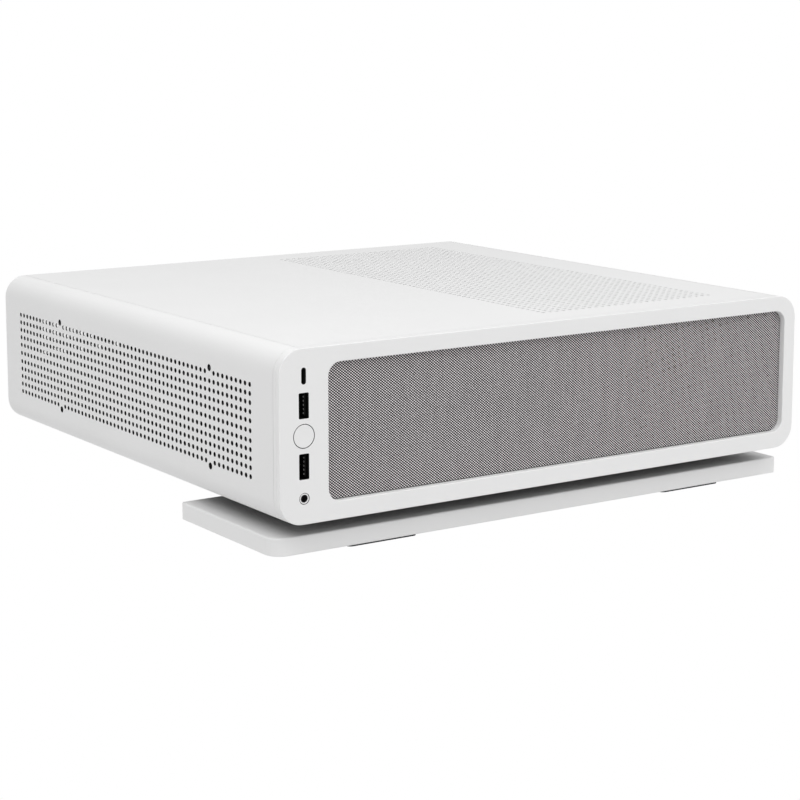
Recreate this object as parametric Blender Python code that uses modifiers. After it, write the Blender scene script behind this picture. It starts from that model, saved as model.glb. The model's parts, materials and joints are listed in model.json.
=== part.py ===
"""A slim desktop computer that lies flat on a low base: covers, frame, boards, fans and power supply.

Sizes are in millimetres, and MM turns them into metres. +X is the right side seen from the front,
-Y is the front and +Z is up. The origin lies on the desk, under the middle of the whole box, and
the heights below are counted from LEVEL, a plane this far above the desk.
"""

import math

import bmesh
import bpy
from mathutils import Matrix, Vector

MM = 0.001

# Driving dimensions of the body and its base
LEVEL = 1.1
DESK = -LEVEL
WIDTH = 375.0
DEPTH = 355.0
BODY_BOTTOM = 19.1
BODY_TOP = 115.0
EDGE_RADIUS = 14.0
COVER = 1.5
STEEL = 1.2
GAP = 0.3
BEZEL_DEPTH = 6.0
BASE_WIDTH = 370.0
BASE_FRONT = -166.4
BASE_REAR = -61.4
BASE_TOP = 9.9
BASE_LIFT = 0.8
BASE_RADII = (9.5, 2.0, 2.0, 2.0)

LEFT = -WIDTH / 2
RIGHT = WIDTH / 2
FRONT = -DEPTH / 2
REAR = DEPTH / 2
MIDDLE = (BODY_BOTTOM + BODY_TOP) / 2
COVER_FRONT = FRONT + BEZEL_DEPTH + GAP
FLOOR = BODY_BOTTOM + COVER + GAP
CEILING = BODY_TOP - COVER - GAP
FLANGE = 8.0

# Rear wall, set in from the ends of the side covers
WALL_FRONT = REAR - 4.7
WALL_REAR = WALL_FRONT + STEEL

# Screen opening in the bezel
SCREEN = (-156.5, 29.3, 178.8, 105.7)
SCREEN_RADIUS = 7.5
SCREEN_RECESS = 3.7

# Front sockets and button, on one upright line
PORT_X = LEFT + 15.4
USB_C_Z = 100.1
USB_UPPER_Z = 84.0
BUTTON_Z = 67.5
USB_LOWER_Z = 50.9
JACK_Z = 33.4
USB_A = (6.2, 14.0)
USB_C = (2.9, 9.1)
SOCKET_WALL = 0.5
BUTTON_RADIUS = 6.5
JACK_RADIUS = 3.0
IO_BOARD_FRONT = -160.0

# Motherboard chamber on the left, graphics card chamber on the right
BOARD = (-178.0, 1.0, -8.0, 171.0)
BOARD_BOTTOM = 25.0
BOARD_THICK = 1.6
BOARD_TOP = BOARD_BOTTOM + BOARD_THICK
CPU = (-98.0, 92.0)
DIVIDER_X = 2.0
PSU_LOW = (-164.0, -149.0, FLOOR)
PSU_SIZE = (125.0, 100.0, 63.5)
CARD = (12.0, -95.0, 123.0, 168.0)
CARD_BOTTOM = 46.0
CASE_FAN_X = 76.0
CASE_FAN_Y = 71.5
CASE_FAN_SIZE = 140.0
CASE_FAN_BOTTOM = 86.5

# Square fans of the processor cooler and the power supply: size, height and bore radius
SMALL_FAN = (92.0, 15.0, 43.0)

# Where the front frame takes the cover's prongs
PRONG_X = (-120, 120)
PRONG_Z = (31, 104)

PLANES = {
    "XY": Matrix.Identity(3),
    "XZ": Matrix(((1, 0, 0), (0, 0, -1), (0, 1, 0))),
    "YZ": Matrix(((0, 0, 1), (1, 0, 0), (0, 1, 0))),
}
NORMALS = {"XY": Vector((0, 0, 1)), "XZ": Vector((0, 1, 0)), "YZ": Vector((1, 0, 0))}

for leftover in list(bpy.data.objects):
    bpy.data.objects.remove(leftover, do_unlink=True)

PARTS = bpy.data.collections.new("desktop_computer")
TOOLS = bpy.data.collections.new("cutters")
for collection in (PARTS, TOOLS):
    bpy.context.scene.collection.children.link(collection)
ASSEMBLY = bpy.data.objects.new("desktop_computer_frame", None)
ASSEMBLY.location.z = LEVEL * MM
PARTS.objects.link(ASSEMBLY)


def material(name, colour, roughness, metallic=0.0):
    made = bpy.data.materials.new(name)
    made.use_nodes = True
    shader = made.node_tree.nodes["Principled BSDF"]
    shader.inputs["Base Color"].default_value = (*colour, 1.0)
    shader.inputs["Roughness"].default_value = roughness
    shader.inputs["Metallic"].default_value = metallic
    return made


WHITE_PAINT = material("white_paint", (0.84, 0.84, 0.84), 0.45)
WHITE_PLASTIC = material("white_plastic", (0.85, 0.85, 0.85), 0.4)
WEAVE = material("grey_weave", (0.27, 0.26, 0.26), 0.9)
BLACK_PLASTIC = material("black_plastic", (0.03, 0.03, 0.03), 0.5)
BLACK_METAL = material("black_metal", (0.03, 0.03, 0.03), 0.4)
GREY_PLASTIC = material("grey_plastic", (0.2, 0.2, 0.21), 0.5)
CIRCUIT = material("circuit_board", (0.02, 0.05, 0.035), 0.4)
ALUMINIUM = material("aluminium", (0.75, 0.76, 0.77), 0.35, 1.0)
STEEL_PLATE = material("plated_steel", (0.7, 0.7, 0.7), 0.3, 1.0)
RUBBER = material("rubber", (0.03, 0.03, 0.03), 0.8)


def finish(obj, mat, smooth=False):
    """Puts an object in the parts collection, under the assembly, with its material."""
    obj.data.materials.append(mat)
    PARTS.objects.link(obj)
    obj.parent = ASSEMBLY
    if smooth:
        obj.data.shade_smooth()
        obj.data.set_sharp_from_angle(angle=math.radians(35))
    return obj


def box(name, low, high, mat):
    size = Vector(high) - Vector(low)
    shape = bmesh.new()
    bmesh.ops.create_cube(shape, size=1.0)
    bmesh.ops.scale(shape, vec=size * MM, verts=shape.verts)
    mesh = bpy.data.meshes.new(name)
    shape.to_mesh(mesh)
    shape.free()
    obj = bpy.data.objects.new(name, mesh)
    obj.location = (Vector(low) + Vector(high)) / 2 * MM
    return finish(obj, mat)


def turned(name, profile, place, axis, mat, steps=24):
    """A round piece: the profile's (radius, height) points run down its outer side, along the axis."""
    mesh = bpy.data.meshes.new(name)
    points = [(radius * MM, 0.0, height * MM) for radius, height in profile]
    mesh.from_pydata(points, [(i, i + 1) for i in range(len(points) - 1)], [])
    obj = bpy.data.objects.new(name, mesh)
    screw = obj.modifiers.new("turn", "SCREW")
    screw.steps = screw.render_steps = steps
    screw.use_merge_vertices = True
    screw.merge_threshold = 1e-5
    obj.location = Vector(place) * MM
    obj.rotation_euler = Vector((0, 0, 1)).rotation_difference(Vector(axis)).to_euler()
    finish(obj, mat)
    return obj


def arc(centre, radius, start, end, steps):
    """Points on an arc, from one angle to another in degrees."""
    angles = [math.radians(start + (end - start) * i / steps) for i in range(steps + 1)]
    return [(centre[0] + radius * math.cos(a), centre[1] + radius * math.sin(a)) for a in angles]


def circle(centre, radius, steps=32):
    return arc(centre, radius, 0, 360, steps)[:-1]


def rectangle(x0, y0, x1, y1):
    return [(x0, y0), (x1, y0), (x1, y1), (x0, y1)]


def round_corners(x0, y0, x1, y1, radii, steps=6):
    """A rectangle whose four corners have their own radii, anticlockwise from the first corner."""
    corners = ((x0, y0, 1, 1), (x1, y0, -1, 1), (x1, y1, -1, -1), (x0, y1, 1, -1))
    points = []
    for number, ((x, y, inward_x, inward_y), radius) in enumerate(zip(corners, radii)):
        start = 180 + 90 * number
        centre = (x + inward_x * radius, y + inward_y * radius)
        points += arc(centre, radius, start, start + 90, steps)
    return points


def rounded(x0, y0, x1, y1, radius, steps=6):
    return round_corners(x0, y0, x1, y1, (radius,) * 4, steps)


def inset(corners, by):
    x0, y0, x1, y1 = corners
    return (x0 + by, y0 + by, x1 - by, y1 - by)


def slot_shape(centre, size):
    """An upright slot with half-round ends."""
    half_width = size[0] / 2
    half_height = size[1] / 2
    low = (centre[0] - half_width, centre[1] - half_height)
    high = (centre[0] + half_width, centre[1] + half_height)
    return rounded(*low, *high, half_width * 0.98)


def as_mesh(curve_object):
    """Turns a curve object into a mesh object of the same place, with its caps welded."""
    bpy.context.view_layer.update()
    graph = bpy.context.evaluated_depsgraph_get()
    mesh = bpy.data.meshes.new_from_object(curve_object.evaluated_get(graph))
    shape = bmesh.new()
    shape.from_mesh(mesh)
    bmesh.ops.remove_doubles(shape, verts=shape.verts, dist=1e-6)
    bmesh.ops.recalc_face_normals(shape, faces=shape.faces)
    shape.to_mesh(mesh)
    shape.free()
    mesh.materials.clear()
    name = curve_object.name
    place = curve_object.matrix_world.copy()
    bpy.data.objects.remove(curve_object)
    obj = bpy.data.objects.new(name, mesh)
    obj.matrix_world = place
    return obj


def flat(name, loops, plane, low, high, mat, bevel=0.0):
    """A plate: the first loop is its outline and the others are holes, from low to high along its normal."""
    curve = bpy.data.curves.new(name, "CURVE")
    curve.dimensions = "2D"
    curve.fill_mode = "BOTH"
    curve.extrude = (high - low) / 2 * MM
    for loop in loops:
        spline = curve.splines.new("POLY")
        spline.points.add(len(loop) - 1)
        spline.use_cyclic_u = True
        for point, (x, y) in zip(spline.points, loop):
            point.co = (x * MM, y * MM, 0, 1)
    obj = bpy.data.objects.new(name, curve)
    bpy.context.scene.collection.objects.link(obj)
    middle = NORMALS[plane] * ((low + high) / 2 * MM)
    obj.matrix_world = Matrix.Translation(middle) @ PLANES[plane].to_4x4()
    obj = finish(as_mesh(obj), mat, smooth=True)
    if bevel:
        soften = obj.modifiers.new("edges", "BEVEL")
        soften.width = bevel * MM
        soften.segments = 2
        soften.limit_method = "ANGLE"
        soften.angle_limit = math.radians(60)
    return obj


def tube(name, route, radius, mat):
    """A cable along a smooth curve through the route's points."""
    points = [Vector(point) for point in route]
    ends = [2 * points[0] - points[1], *points, 2 * points[-1] - points[-2]]
    smooth = []
    for a, b, c, d in zip(ends, ends[1:], ends[2:], ends[3:]):
        steps = max(2, round((c - b).length / (5 * radius)))
        for i in range(steps):
            t = i / steps
            smooth.append(0.5 * (2 * b + (c - a) * t + (2 * a - 5 * b + 4 * c - d) * t**2
                                 + (3 * b - a - 3 * c + d) * t**3))
    smooth.append(points[-1])
    curve = bpy.data.curves.new(name, "CURVE")
    curve.dimensions = "3D"
    curve.bevel_depth = radius * MM
    curve.bevel_resolution = 2
    curve.use_fill_caps = True
    spline = curve.splines.new("POLY")
    spline.points.add(len(smooth) - 1)
    for point, place in zip(spline.points, smooth):
        point.co = (*(place * MM), 1)
    obj = bpy.data.objects.new(name, curve)
    bpy.context.scene.collection.objects.link(obj)
    return finish(as_mesh(obj), mat, smooth=True)


def tool(obj):
    """Sets a shape aside as a hidden cutter or joiner."""
    PARTS.objects.unlink(obj)
    TOOLS.objects.link(obj)
    obj.hide_render = True
    obj.display_type = "WIRE"
    return obj


def combine(obj, others, operation):
    for other in others:
        step = obj.modifiers.new(other.name, "BOOLEAN")
        step.operation = operation
        step.object = tool(other)
    return obj


def join(obj, others):
    return combine(obj, others, "UNION")


def cut(obj, others):
    return combine(obj, others, "DIFFERENCE")


def side_shell(name, side):
    """A C-shaped cover with round long edges, and flanges that carry the top and bottom panels."""
    half = (BODY_TOP - BODY_BOTTOM) / 2
    centre = (EDGE_RADIUS, half - EDGE_RADIUS)
    under = half - COVER - GAP
    inner = EDGE_RADIUS - COVER
    meets = 180 - math.degrees(math.asin((under - COVER - centre[1]) / inner))
    upper = arc(centre, EDGE_RADIUS, 180, 90, 8)
    upper += [(EDGE_RADIUS, under), (EDGE_RADIUS + FLANGE, under), (EDGE_RADIUS + FLANGE, under - COVER)]
    upper += arc(centre, inner, meets, 180, 6)
    profile = upper + [(inward, -height) for inward, height in reversed(upper)]
    loop = [(side * (RIGHT - inward), MIDDLE + height) for inward, height in profile]
    return flat(name, [loop], "XZ", COVER_FRONT, REAR, WHITE_PAINT)


def wide_panel(name, low, high, lip_low, lip_high):
    """A plate between the side covers, with a folded lip that closes the gap at the rear wall."""
    reach = RIGHT - EDGE_RADIUS - GAP
    plate = flat(name, [rectangle(-reach, COVER_FRONT, reach, REAR - GAP)], "XY", low, high, WHITE_PAINT)
    lip = box(name + "_lip", (-165, REAR - 1.9, lip_low), (165, REAR - 0.7, lip_high), WHITE_PAINT)
    return join(plate, [lip])


def covers():
    side_shell("left_side_cover", -1)
    side_shell("right_side_cover", 1)
    wide_panel("top_panel", BODY_TOP - COVER, BODY_TOP, BODY_TOP - 8, BODY_TOP - 1)
    wide_panel("bottom_panel", BODY_BOTTOM, BODY_BOTTOM + COVER, BODY_BOTTOM + 1, BODY_BOTTOM + 8)


def wall_outline():
    """The outline of the walls that stand inside the side covers."""
    return rounded(LEFT + COVER + GAP, FLOOR + COVER + GAP, RIGHT - COVER - GAP, CEILING - COVER - GAP, 10.5)


def port_window(centre_z, size, grow=0.0):
    half = (size[0] / 2 + grow, size[1] / 2 + grow)
    return (PORT_X - half[0], centre_z - half[1], PORT_X + half[0], centre_z + half[1])


def front_cover():
    """The bezel, the woven screen in its opening, and the carrier behind it with four prongs."""
    outline = rounded(LEFT, BODY_BOTTOM, RIGHT, BODY_TOP, EDGE_RADIUS, 8)
    skin = 1.0
    back_clearance = 0.8
    holes = [rounded(*SCREEN, SCREEN_RADIUS)]
    holes += [slot_shape((PORT_X, USB_C_Z), USB_C)]
    holes += [rounded(*port_window(z, USB_A), 0.6, 2) for z in (USB_UPPER_Z, USB_LOWER_Z)]
    holes += [circle((PORT_X, BUTTON_Z), BUTTON_RADIUS + 0.2)]
    holes += [circle((PORT_X, JACK_Z), JACK_RADIUS + 0.2, 24)]
    bezel = flat("front_bezel", [outline, *holes], "XZ", FRONT, FRONT + BEZEL_DEPTH, WHITE_PLASTIC)
    pockets = []
    for number, (z, size) in enumerate(((USB_C_Z, USB_C), (USB_UPPER_Z, USB_A), (USB_LOWER_Z, USB_A))):
        x0, z0, x1, z1 = port_window(z, size, back_clearance)
        deep = FRONT + BEZEL_DEPTH + 2
        pockets.append(box(f"port_pocket_{number}", (x0, FRONT + skin, z0), (x1, deep, z1), WHITE_PLASTIC))
    cut(bezel, pockets)

    face = FRONT + SCREEN_RECESS
    cloth = 0.8
    flat("fabric_screen", [rounded(*inset(SCREEN, GAP), SCREEN_RADIUS)], "XZ", face, face + cloth, WEAVE)

    back = FRONT + BEZEL_DEPTH + GAP
    plate = [rounded(*inset(SCREEN, -2.5), SCREEN_RADIUS)]
    carrier = flat("screen_carrier", plate, "XZ", back, back + 1.5, WHITE_PLASTIC)
    raised = [rounded(*inset(SCREEN, GAP), SCREEN_RADIUS)]
    pieces = [flat("carrier_rim", raised, "XZ", face + cloth + GAP, back + 0.7, WHITE_PLASTIC)]
    for x in PRONG_X:
        for z in PRONG_Z:
            prong = ((x - 4, back + 1, z - 1), (x + 4, back + 8, z + 1))
            pieces.append(box(f"prong_{x}_{z}", *prong, WHITE_PLASTIC))
    x0, z0, x1, z1 = inset(SCREEN, 5)
    hollows = [box("carrier_recess", (x0, back - 5, z0), (x1, back + 0.2, z1), WHITE_PLASTIC)]
    columns = 9
    rib = 4
    pitch = (x1 - x0 + rib) / columns
    for column in range(columns):
        x = x0 + column * pitch
        for row in range(2):
            z = z0 + 2 + row * 32
            window = ((x, back - 1, z), (x + pitch - rib, back + 3, z + 29))
            hollows.append(box(f"window_{column}_{row}", *window, WHITE_PLASTIC))
    cut(join(carrier, pieces), hollows)


def frame_walls():
    """The front and rear walls, the upright divider and the board tray."""
    prongs = [rectangle(x - 5, z - 2, x + 5, z + 2) for x in PRONG_X for z in PRONG_Z]
    front_holes = [rounded(-150, 36, 172, 99, 6, 3), rounded(-183, 28.5, -161, 106.5, 3, 3), *prongs]
    wall_front = -168.3
    flat("front_frame", [wall_outline(), *front_holes], "XZ", wall_front, wall_front + STEEL, BLACK_METAL)

    shield = rounded(-170.5, 26.5, -14.5, 66.5, 2, 2)
    card_slots = rounded(14, 44, 124, 84.5, 2, 2)
    mains = rectangle(150.5, 31.5, 177.5, 51.5)
    rear_holes = [shield, card_slots, mains]
    flat("rear_panel", [wall_outline(), *rear_holes], "XZ", WALL_FRONT, WALL_REAR, WHITE_PAINT)

    walls = rectangle(-162.8, FLOOR + GAP, WALL_FRONT - 3.5, CEILING - GAP)
    riser_window = rounded(22, 36, 138, 84, 4, 2)
    cable_window = rounded(-160.5, 25.5, -62, 62, 4, 2)
    windows = [riser_window, cable_window]
    flat("centre_divider", [walls, *windows], "YZ", DIVIDER_X, DIVIDER_X + STEEL, BLACK_METAL)

    x0, y0, x1, y1 = BOARD
    plate = rectangle(x0 + 13, y0 + 3, x1 - 2, y1 - 3)
    tray = flat("board_tray", [plate], "XY", FLOOR, FLOOR + 1.0, BLACK_METAL)
    posts = []
    for x in (x0 + 17, x1 - 8):
        for y in (y0 + 8, y1 - 12):
            height = BOARD_BOTTOM - GAP - FLOOR - 0.5
            profile = ((0, height), (3, height), (3, 0), (0, 0))
            name = f"standoff_{len(posts)}"
            posts.append(turned(name, profile, (x, y, FLOOR + 0.5), (0, 0, 1), STEEL_PLATE, 12))
    join(tray, posts)


def base():
    """The low base plate at the front, its spacers and pads, and two round feet at the rear."""
    half = BASE_WIDTH / 2
    plan = round_corners(-half, BASE_FRONT, half, BASE_REAR, BASE_RADII)
    flat("base_plate", [plan], "XY", DESK + BASE_LIFT, BASE_TOP, WHITE_PAINT, bevel=0.8)
    under = BODY_BOTTOM - GAP
    rise = under - BASE_TOP - GAP
    spacer = ((0, rise), (21, rise), (22, rise - 1), (22, 0), (0, 0))
    pad_half = 23
    foot_bottom = DESK + 1.8
    height = under - foot_bottom
    foot = ((0, height), (16, height), (16, 3), (14, 0), (0, 0))
    sole = ((0, 1.5), (13, 1.5), (13, 0.4), (12.6, 0), (0, 0))
    for side, word in ((-1, "left"), (1, "right")):
        turned(f"base_spacer_{word}", spacer, (side * 95, -108, BASE_TOP + GAP), (0, 0, 1), WHITE_PAINT, 24)
        low = (side * 113.7 - pad_half, BASE_FRONT + 1.2, DESK)
        high = (side * 113.7 + pad_half, BASE_FRONT + 13, DESK + 0.5)
        box(f"base_pad_{word}", low, high, RUBBER)
        turned(f"rear_foot_{word}", foot, (side * 112, 143, foot_bottom), (0, 0, 1), WHITE_PLASTIC, 24)
        turned(f"rear_foot_pad_{word}", sole, (side * 112, 143, DESK), (0, 0, 1), RUBBER, 20)


def socket(name, z, size, depth):
    """A rectangular front socket, open towards the front."""
    x0, z0, x1, z1 = port_window(z, size, SOCKET_WALL)
    front = FRONT + 1 + GAP
    body = box(name, (x0, front, z0), (x1, IO_BOARD_FRONT - GAP, z1), BLACK_PLASTIC)
    x0, z0, x1, z1 = port_window(z, size)
    cavity = box(name + "_cavity", (x0, front - 1, z0), (x1, front + depth, z1), BLACK_PLASTIC)
    return cut(body, [cavity])


def front_ports():
    """The board behind the left end of the bezel, its sockets, the switch, and the button with its guide."""
    outline = rectangle(PORT_X - 8, 29, PORT_X + 9, 106)
    board = flat("front_io_board", [outline], "XZ", IO_BOARD_FRONT, IO_BOARD_FRONT + 1.6, CIRCUIT)
    socket("usb_a_upper", USB_UPPER_Z, USB_A, 12.5)
    socket("usb_a_lower", USB_LOWER_Z, USB_A, 12.5)
    socket("usb_c_port", USB_C_Z, USB_C, 7.0)

    reach = IO_BOARD_FRONT - GAP - FRONT
    jack = ((0, 2.4), (2.15, 2.4), (2.15, reach), (JACK_RADIUS, reach), (JACK_RADIUS, 0), (0, 0))
    turned("audio_jack", jack, (PORT_X, IO_BOARD_FRONT - GAP, JACK_Z), (0, -1, 0), WHITE_PLASTIC)

    switch_front = IO_BOARD_FRONT - 4.3
    low = (PORT_X - 3, switch_front, BUTTON_Z - 3)
    join(board, [box("power_switch", low, (PORT_X + 3, IO_BOARD_FRONT + 0.5, BUTTON_Z + 3), BLACK_PLASTIC)])

    guide_back = switch_front - 1.0
    guide = rounded(PORT_X - 7, BUTTON_Z - 8, PORT_X + 7, BUTTON_Z + 8, 2, 2)
    bore = circle((PORT_X, BUTTON_Z), 2.7, 24)
    plate = flat("button_guide", [guide, bore], "XZ", guide_back - 3, guide_back, WHITE_PLASTIC)
    posts = []
    for x in (-5, 5):
        for z in (-6, 6):
            low = (PORT_X + x - 1, guide_back - 1, BUTTON_Z + z - 1)
            high = (PORT_X + x + 1, IO_BOARD_FRONT - GAP, BUTTON_Z + z + 1)
            posts.append(box(f"guide_post_{x}_{z}", low, high, WHITE_PLASTIC))
    join(plate, posts)

    cap = 5.0
    stem = switch_front - 1.6 - FRONT
    face = ((0, 0), (BUTTON_RADIUS - 0.5, 0), (BUTTON_RADIUS, -0.4), (BUTTON_RADIUS, -cap), (2.4, -cap))
    button = (*face, (2.4, -stem), (0, -stem))
    turned("power_button", button, (PORT_X, FRONT, BUTTON_Z), (0, -1, 0), WHITE_PLASTIC, 32)


def blade(radius, chord, hub, height, turn):
    """One blade that starts just inside the hub, twisted from its root to its round-cut tip."""
    length = radius - hub + 2
    shape = bmesh.new()
    bmesh.ops.create_cube(shape, size=1.0)
    bmesh.ops.scale(shape, vec=Vector((length, chord, 1.6)) * MM, verts=shape.verts)
    bmesh.ops.subdivide_edges(shape, edges=[e for e in shape.edges if e.calc_length() > length * MM * 0.99
                                            and abs(e.verts[0].co.y - e.verts[1].co.y) < 1e-7], cuts=1)
    limit = height * 0.45 * MM
    for point in shape.verts:
        along = point.co.x / (length * MM) + 0.5
        pitch = math.radians(40 - 14 * along) * turn
        across = point.co.y * (0.75 + 0.25 * along)
        rise = across * math.sin(pitch) + point.co.z * math.cos(pitch)
        point.co.y = across * math.cos(pitch) - point.co.z * math.sin(pitch)
        point.co.z = max(-limit, min(limit, rise))
        point.co.x += (hub - 2 + length / 2) * MM
        point.co.x = min(point.co.x, math.sqrt((radius * MM) ** 2 - point.co.y**2))
    mesh = bpy.data.meshes.new("blade")
    shape.to_mesh(mesh)
    shape.free()
    return mesh


def rotor(name, centre, radius, hub, height, blades, turn, mat):
    """A fan rotor on an upright axis: a hub, and blades that start inside it."""
    half = height / 2
    hub_profile = ((0, half), (hub - 1, half), (hub, half - 1), (hub, -half), (0, -half))
    body = turned(name, hub_profile, centre, (0, 0, 1), mat, 20)
    chord = 2 * math.pi * (radius + hub) / 2 / blades * 0.8
    one = blade(radius, chord, hub, height, turn)
    ring = bmesh.new()
    for number in range(blades):
        ring.from_mesh(one)
        ring.verts.ensure_lookup_table()
        spin = Matrix.Rotation(2 * math.pi * number / blades, 3, "Z")
        bmesh.ops.rotate(ring, matrix=spin, verts=ring.verts[-len(one.vertices):])
    mesh = bpy.data.meshes.new(name + "_blades")
    ring.to_mesh(mesh)
    ring.free()
    blades_object = bpy.data.objects.new(name + "_blades", mesh)
    blades_object.location = Vector(centre) * MM
    return join(body, [finish(blades_object, mat)])


def fan(name, centre_x, centre_y, bottom, sizes, mat):
    """A square fan frame with a motor mount on four arms, and its rotor; sizes as in SMALL_FAN."""
    size, height, bore = sizes
    low = (centre_x - size / 2, centre_y - size / 2)
    high = (centre_x + size / 2, centre_y + size / 2)
    outline = rounded(*low, *high, 5, 3)
    hole = circle((centre_x, centre_y), bore, 36)
    frame = flat(name + "_frame", [outline, hole], "XY", bottom, bottom + height, mat)
    hub = size * 0.16
    thick = 3.0
    disc = ((0, thick), (hub, thick), (hub, 0), (0, 0))
    mount = turned(name + "_mount", disc, (centre_x, centre_y, bottom), (0, 0, 1), mat, 16)
    arms = []
    for number in range(2):
        lift = 0.2 + 0.2 * number
        arm = box(f"{name}_arm_{number}", (centre_x - bore - 1, centre_y - 2, bottom + lift),
                  (centre_x + bore + 1, centre_y + 2, bottom + thick - lift), mat)
        arm.rotation_euler.z = math.radians(45 + 90 * number)
        arms.append(arm)
    join(frame, [mount, *arms])
    rotor_height = height - thick - 2
    centre = (centre_x, centre_y, bottom + thick + 1 + rotor_height / 2)
    rotor(name + "_rotor", centre, bore - 1.6, hub, rotor_height, 7, 1, mat)


def comb(name, x_range, heights, fins, y_range, mat):
    """A heat sink the same along Y: upright fins on a base; heights are its low, top and fin end."""
    x0, x1 = x_range
    base_low, base_top, fin_end = heights
    pitch = (x1 - x0) / (fins - 0.5)
    loop = [(x0, base_low), (x1, base_low)]
    for number in reversed(range(fins)):
        x = x0 + number * pitch
        loop += [(x + pitch / 2, fin_end), (x, fin_end)]
        if number:
            loop += [(x, base_top), (x - pitch / 2, base_top)]
    return flat(name, [loop], "XZ", *y_range, mat)


def square_block(centre, half, low, high):
    """The two corners of a square block about a centre."""
    return (centre[0] - half, centre[1] - half, low), (centre[0] + half, centre[1] + half, high)


def motherboard():
    """The board with its slots and sinks, the processor cooler, the memory and the rear sockets."""
    x0, y0, x1, y1 = BOARD
    board = flat("motherboard", [rectangle(*BOARD)], "XY", BOARD_BOTTOM, BOARD_TOP, CIRCUIT)
    start = BOARD_TOP - 0.5
    fitted = {
        "memory_slots": ((x0 + 18, y0 + 4, start), (x0 + 152, y0 + 18, BOARD_TOP + 7)),
        "card_slot": ((x1 - 12, y0 + 40, start), (x1 - 4, y0 + 132, BOARD_TOP + 11)),
        "power_socket": ((x0 + 3, y0 + 20, start), (x0 + 13, y0 + 72, BOARD_TOP + 13)),
        "regulator_sink": ((x0 + 8, y1 - 62, start), (x0 + 24, y1 - 24, BOARD_TOP + 24)),
        "chipset_sink": ((x1 - 40, y0 + 30, start), (x1 - 18, y0 + 62, BOARD_TOP + 9)),
        "processor_socket": square_block(CPU, 22, start, BOARD_TOP + 4),
    }
    join(board, [box(name, low, high, CIRCUIT) for name, (low, high) in fitted.items()])

    for number, y in enumerate((y0 + 7.5, y0 + 14.5), 1):
        low = (x0 + 19, y - 0.7, BOARD_TOP + 7.3)
        box(f"memory_module_{number}", low, (x0 + 151, y + 0.7, BOARD_TOP + 33), CIRCUIT)

    cooler_bottom = BOARD_TOP + 4 + GAP
    cooler_top = cooler_bottom + 22
    half = 46
    x_range = (CPU[0] - half, CPU[0] + half)
    heights = (cooler_bottom + 3, cooler_bottom + 6, cooler_top)
    y_range = (CPU[1] - half, CPU[1] + half)
    sink = comb("processor_heat_sink", x_range, heights, 20, y_range, ALUMINIUM)
    foot = square_block(CPU, 19, cooler_bottom, cooler_bottom + 4)
    join(sink, [box("sink_foot", *foot, ALUMINIUM)])
    fan("processor_fan", *CPU, cooler_top + GAP, SMALL_FAN, BLACK_PLASTIC)

    ports = (("network_socket", -66, 16, 14, 9), ("usb_stack", -90, 14, 30, 11),
             ("display_sockets", -116, 16, 22, 9))
    windows = []
    for name, centre, width, height, depth in ports:
        side = width / 2
        low = (centre - side, y1 - 20, BOARD_TOP + GAP)
        body = box(name, low, (centre + side, WALL_FRONT - 0.6, BOARD_TOP + height), STEEL_PLATE)
        mouth = ((centre - side + 1, WALL_FRONT - depth, BOARD_TOP + 1.5),
                 (centre + side - 1, WALL_FRONT + 1, BOARD_TOP + height - 1))
        cut(body, [box(name + "_mouth", *mouth, STEEL_PLATE)])
        edges = (centre - side - GAP, BOARD_TOP, centre + side + GAP, BOARD_TOP + height + GAP)
        windows.append(rectangle(*edges))
    windows += [circle((x, z), 3.0, 16) for x in (-40, -28) for z in (36, 47)]
    plate = rounded(-171.5, 24.8, -13.5, 67.5, 2, 2)
    flat("io_shield", [plate, *windows], "XZ", WALL_FRONT - 1.2, WALL_FRONT - 0.4, STEEL_PLATE)


def power_supply():
    """The supply's case with its fan, rocker and mains plug, and the mains inlet in the rear wall."""
    low = Vector(PSU_LOW)
    high = low + Vector(PSU_SIZE)
    wall = 1.0
    body = box("psu_case", low, high, BLACK_METAL)
    thick = Vector((wall, wall, wall))
    inner = box("psu_hollow", low + thick, high - thick, BLACK_METAL)
    centre = (low + high) / 2
    disc = ((0, 2), (43, 2), (43, -2), (0, -2))
    intake = turned("psu_intake", disc, (centre.x, centre.y, low.z), (0, 0, 1), BLACK_METAL, 32)
    pivot = Vector((high.x - 22, low.y, centre.z + 8))
    hole = (pivot - Vector((7, 1, 10.5)), pivot + Vector((7, 2, 10.5)))
    cut(body, [inner, intake, box("rocker_hole", *hole, BLACK_METAL)])
    fan("psu_fan", centre.x, centre.y, low.z + wall + GAP, SMALL_FAN, BLACK_PLASTIC)

    rocker = box("psu_rocker", pivot - Vector((6, 2, 9)), pivot + Vector((6, 5, 9)), BLACK_PLASTIC)
    hinge = (pivot + Vector((0, 3, 0))) * MM
    rocker.data.transform(Matrix.Translation(rocker.location - hinge))
    rocker.location = hinge
    rocker.rotation_euler.x = math.radians(6)

    plug = ((low.x + 20, low.y - 14, centre.z - 4), (low.x + 45, low.y - GAP, centre.z + 14))
    box("mains_plug", *plug, BLACK_PLASTIC)
    inlet = box("mains_inlet", (151, WALL_REAR - 24, 32), (177, WALL_REAR + 1.5, 51), BLACK_PLASTIC)
    cut(inlet, [box("inlet_mouth", (152, WALL_REAR - 13, 33.5), (176, WALL_REAR + 3, 49.5), BLACK_PLASTIC)])


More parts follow.
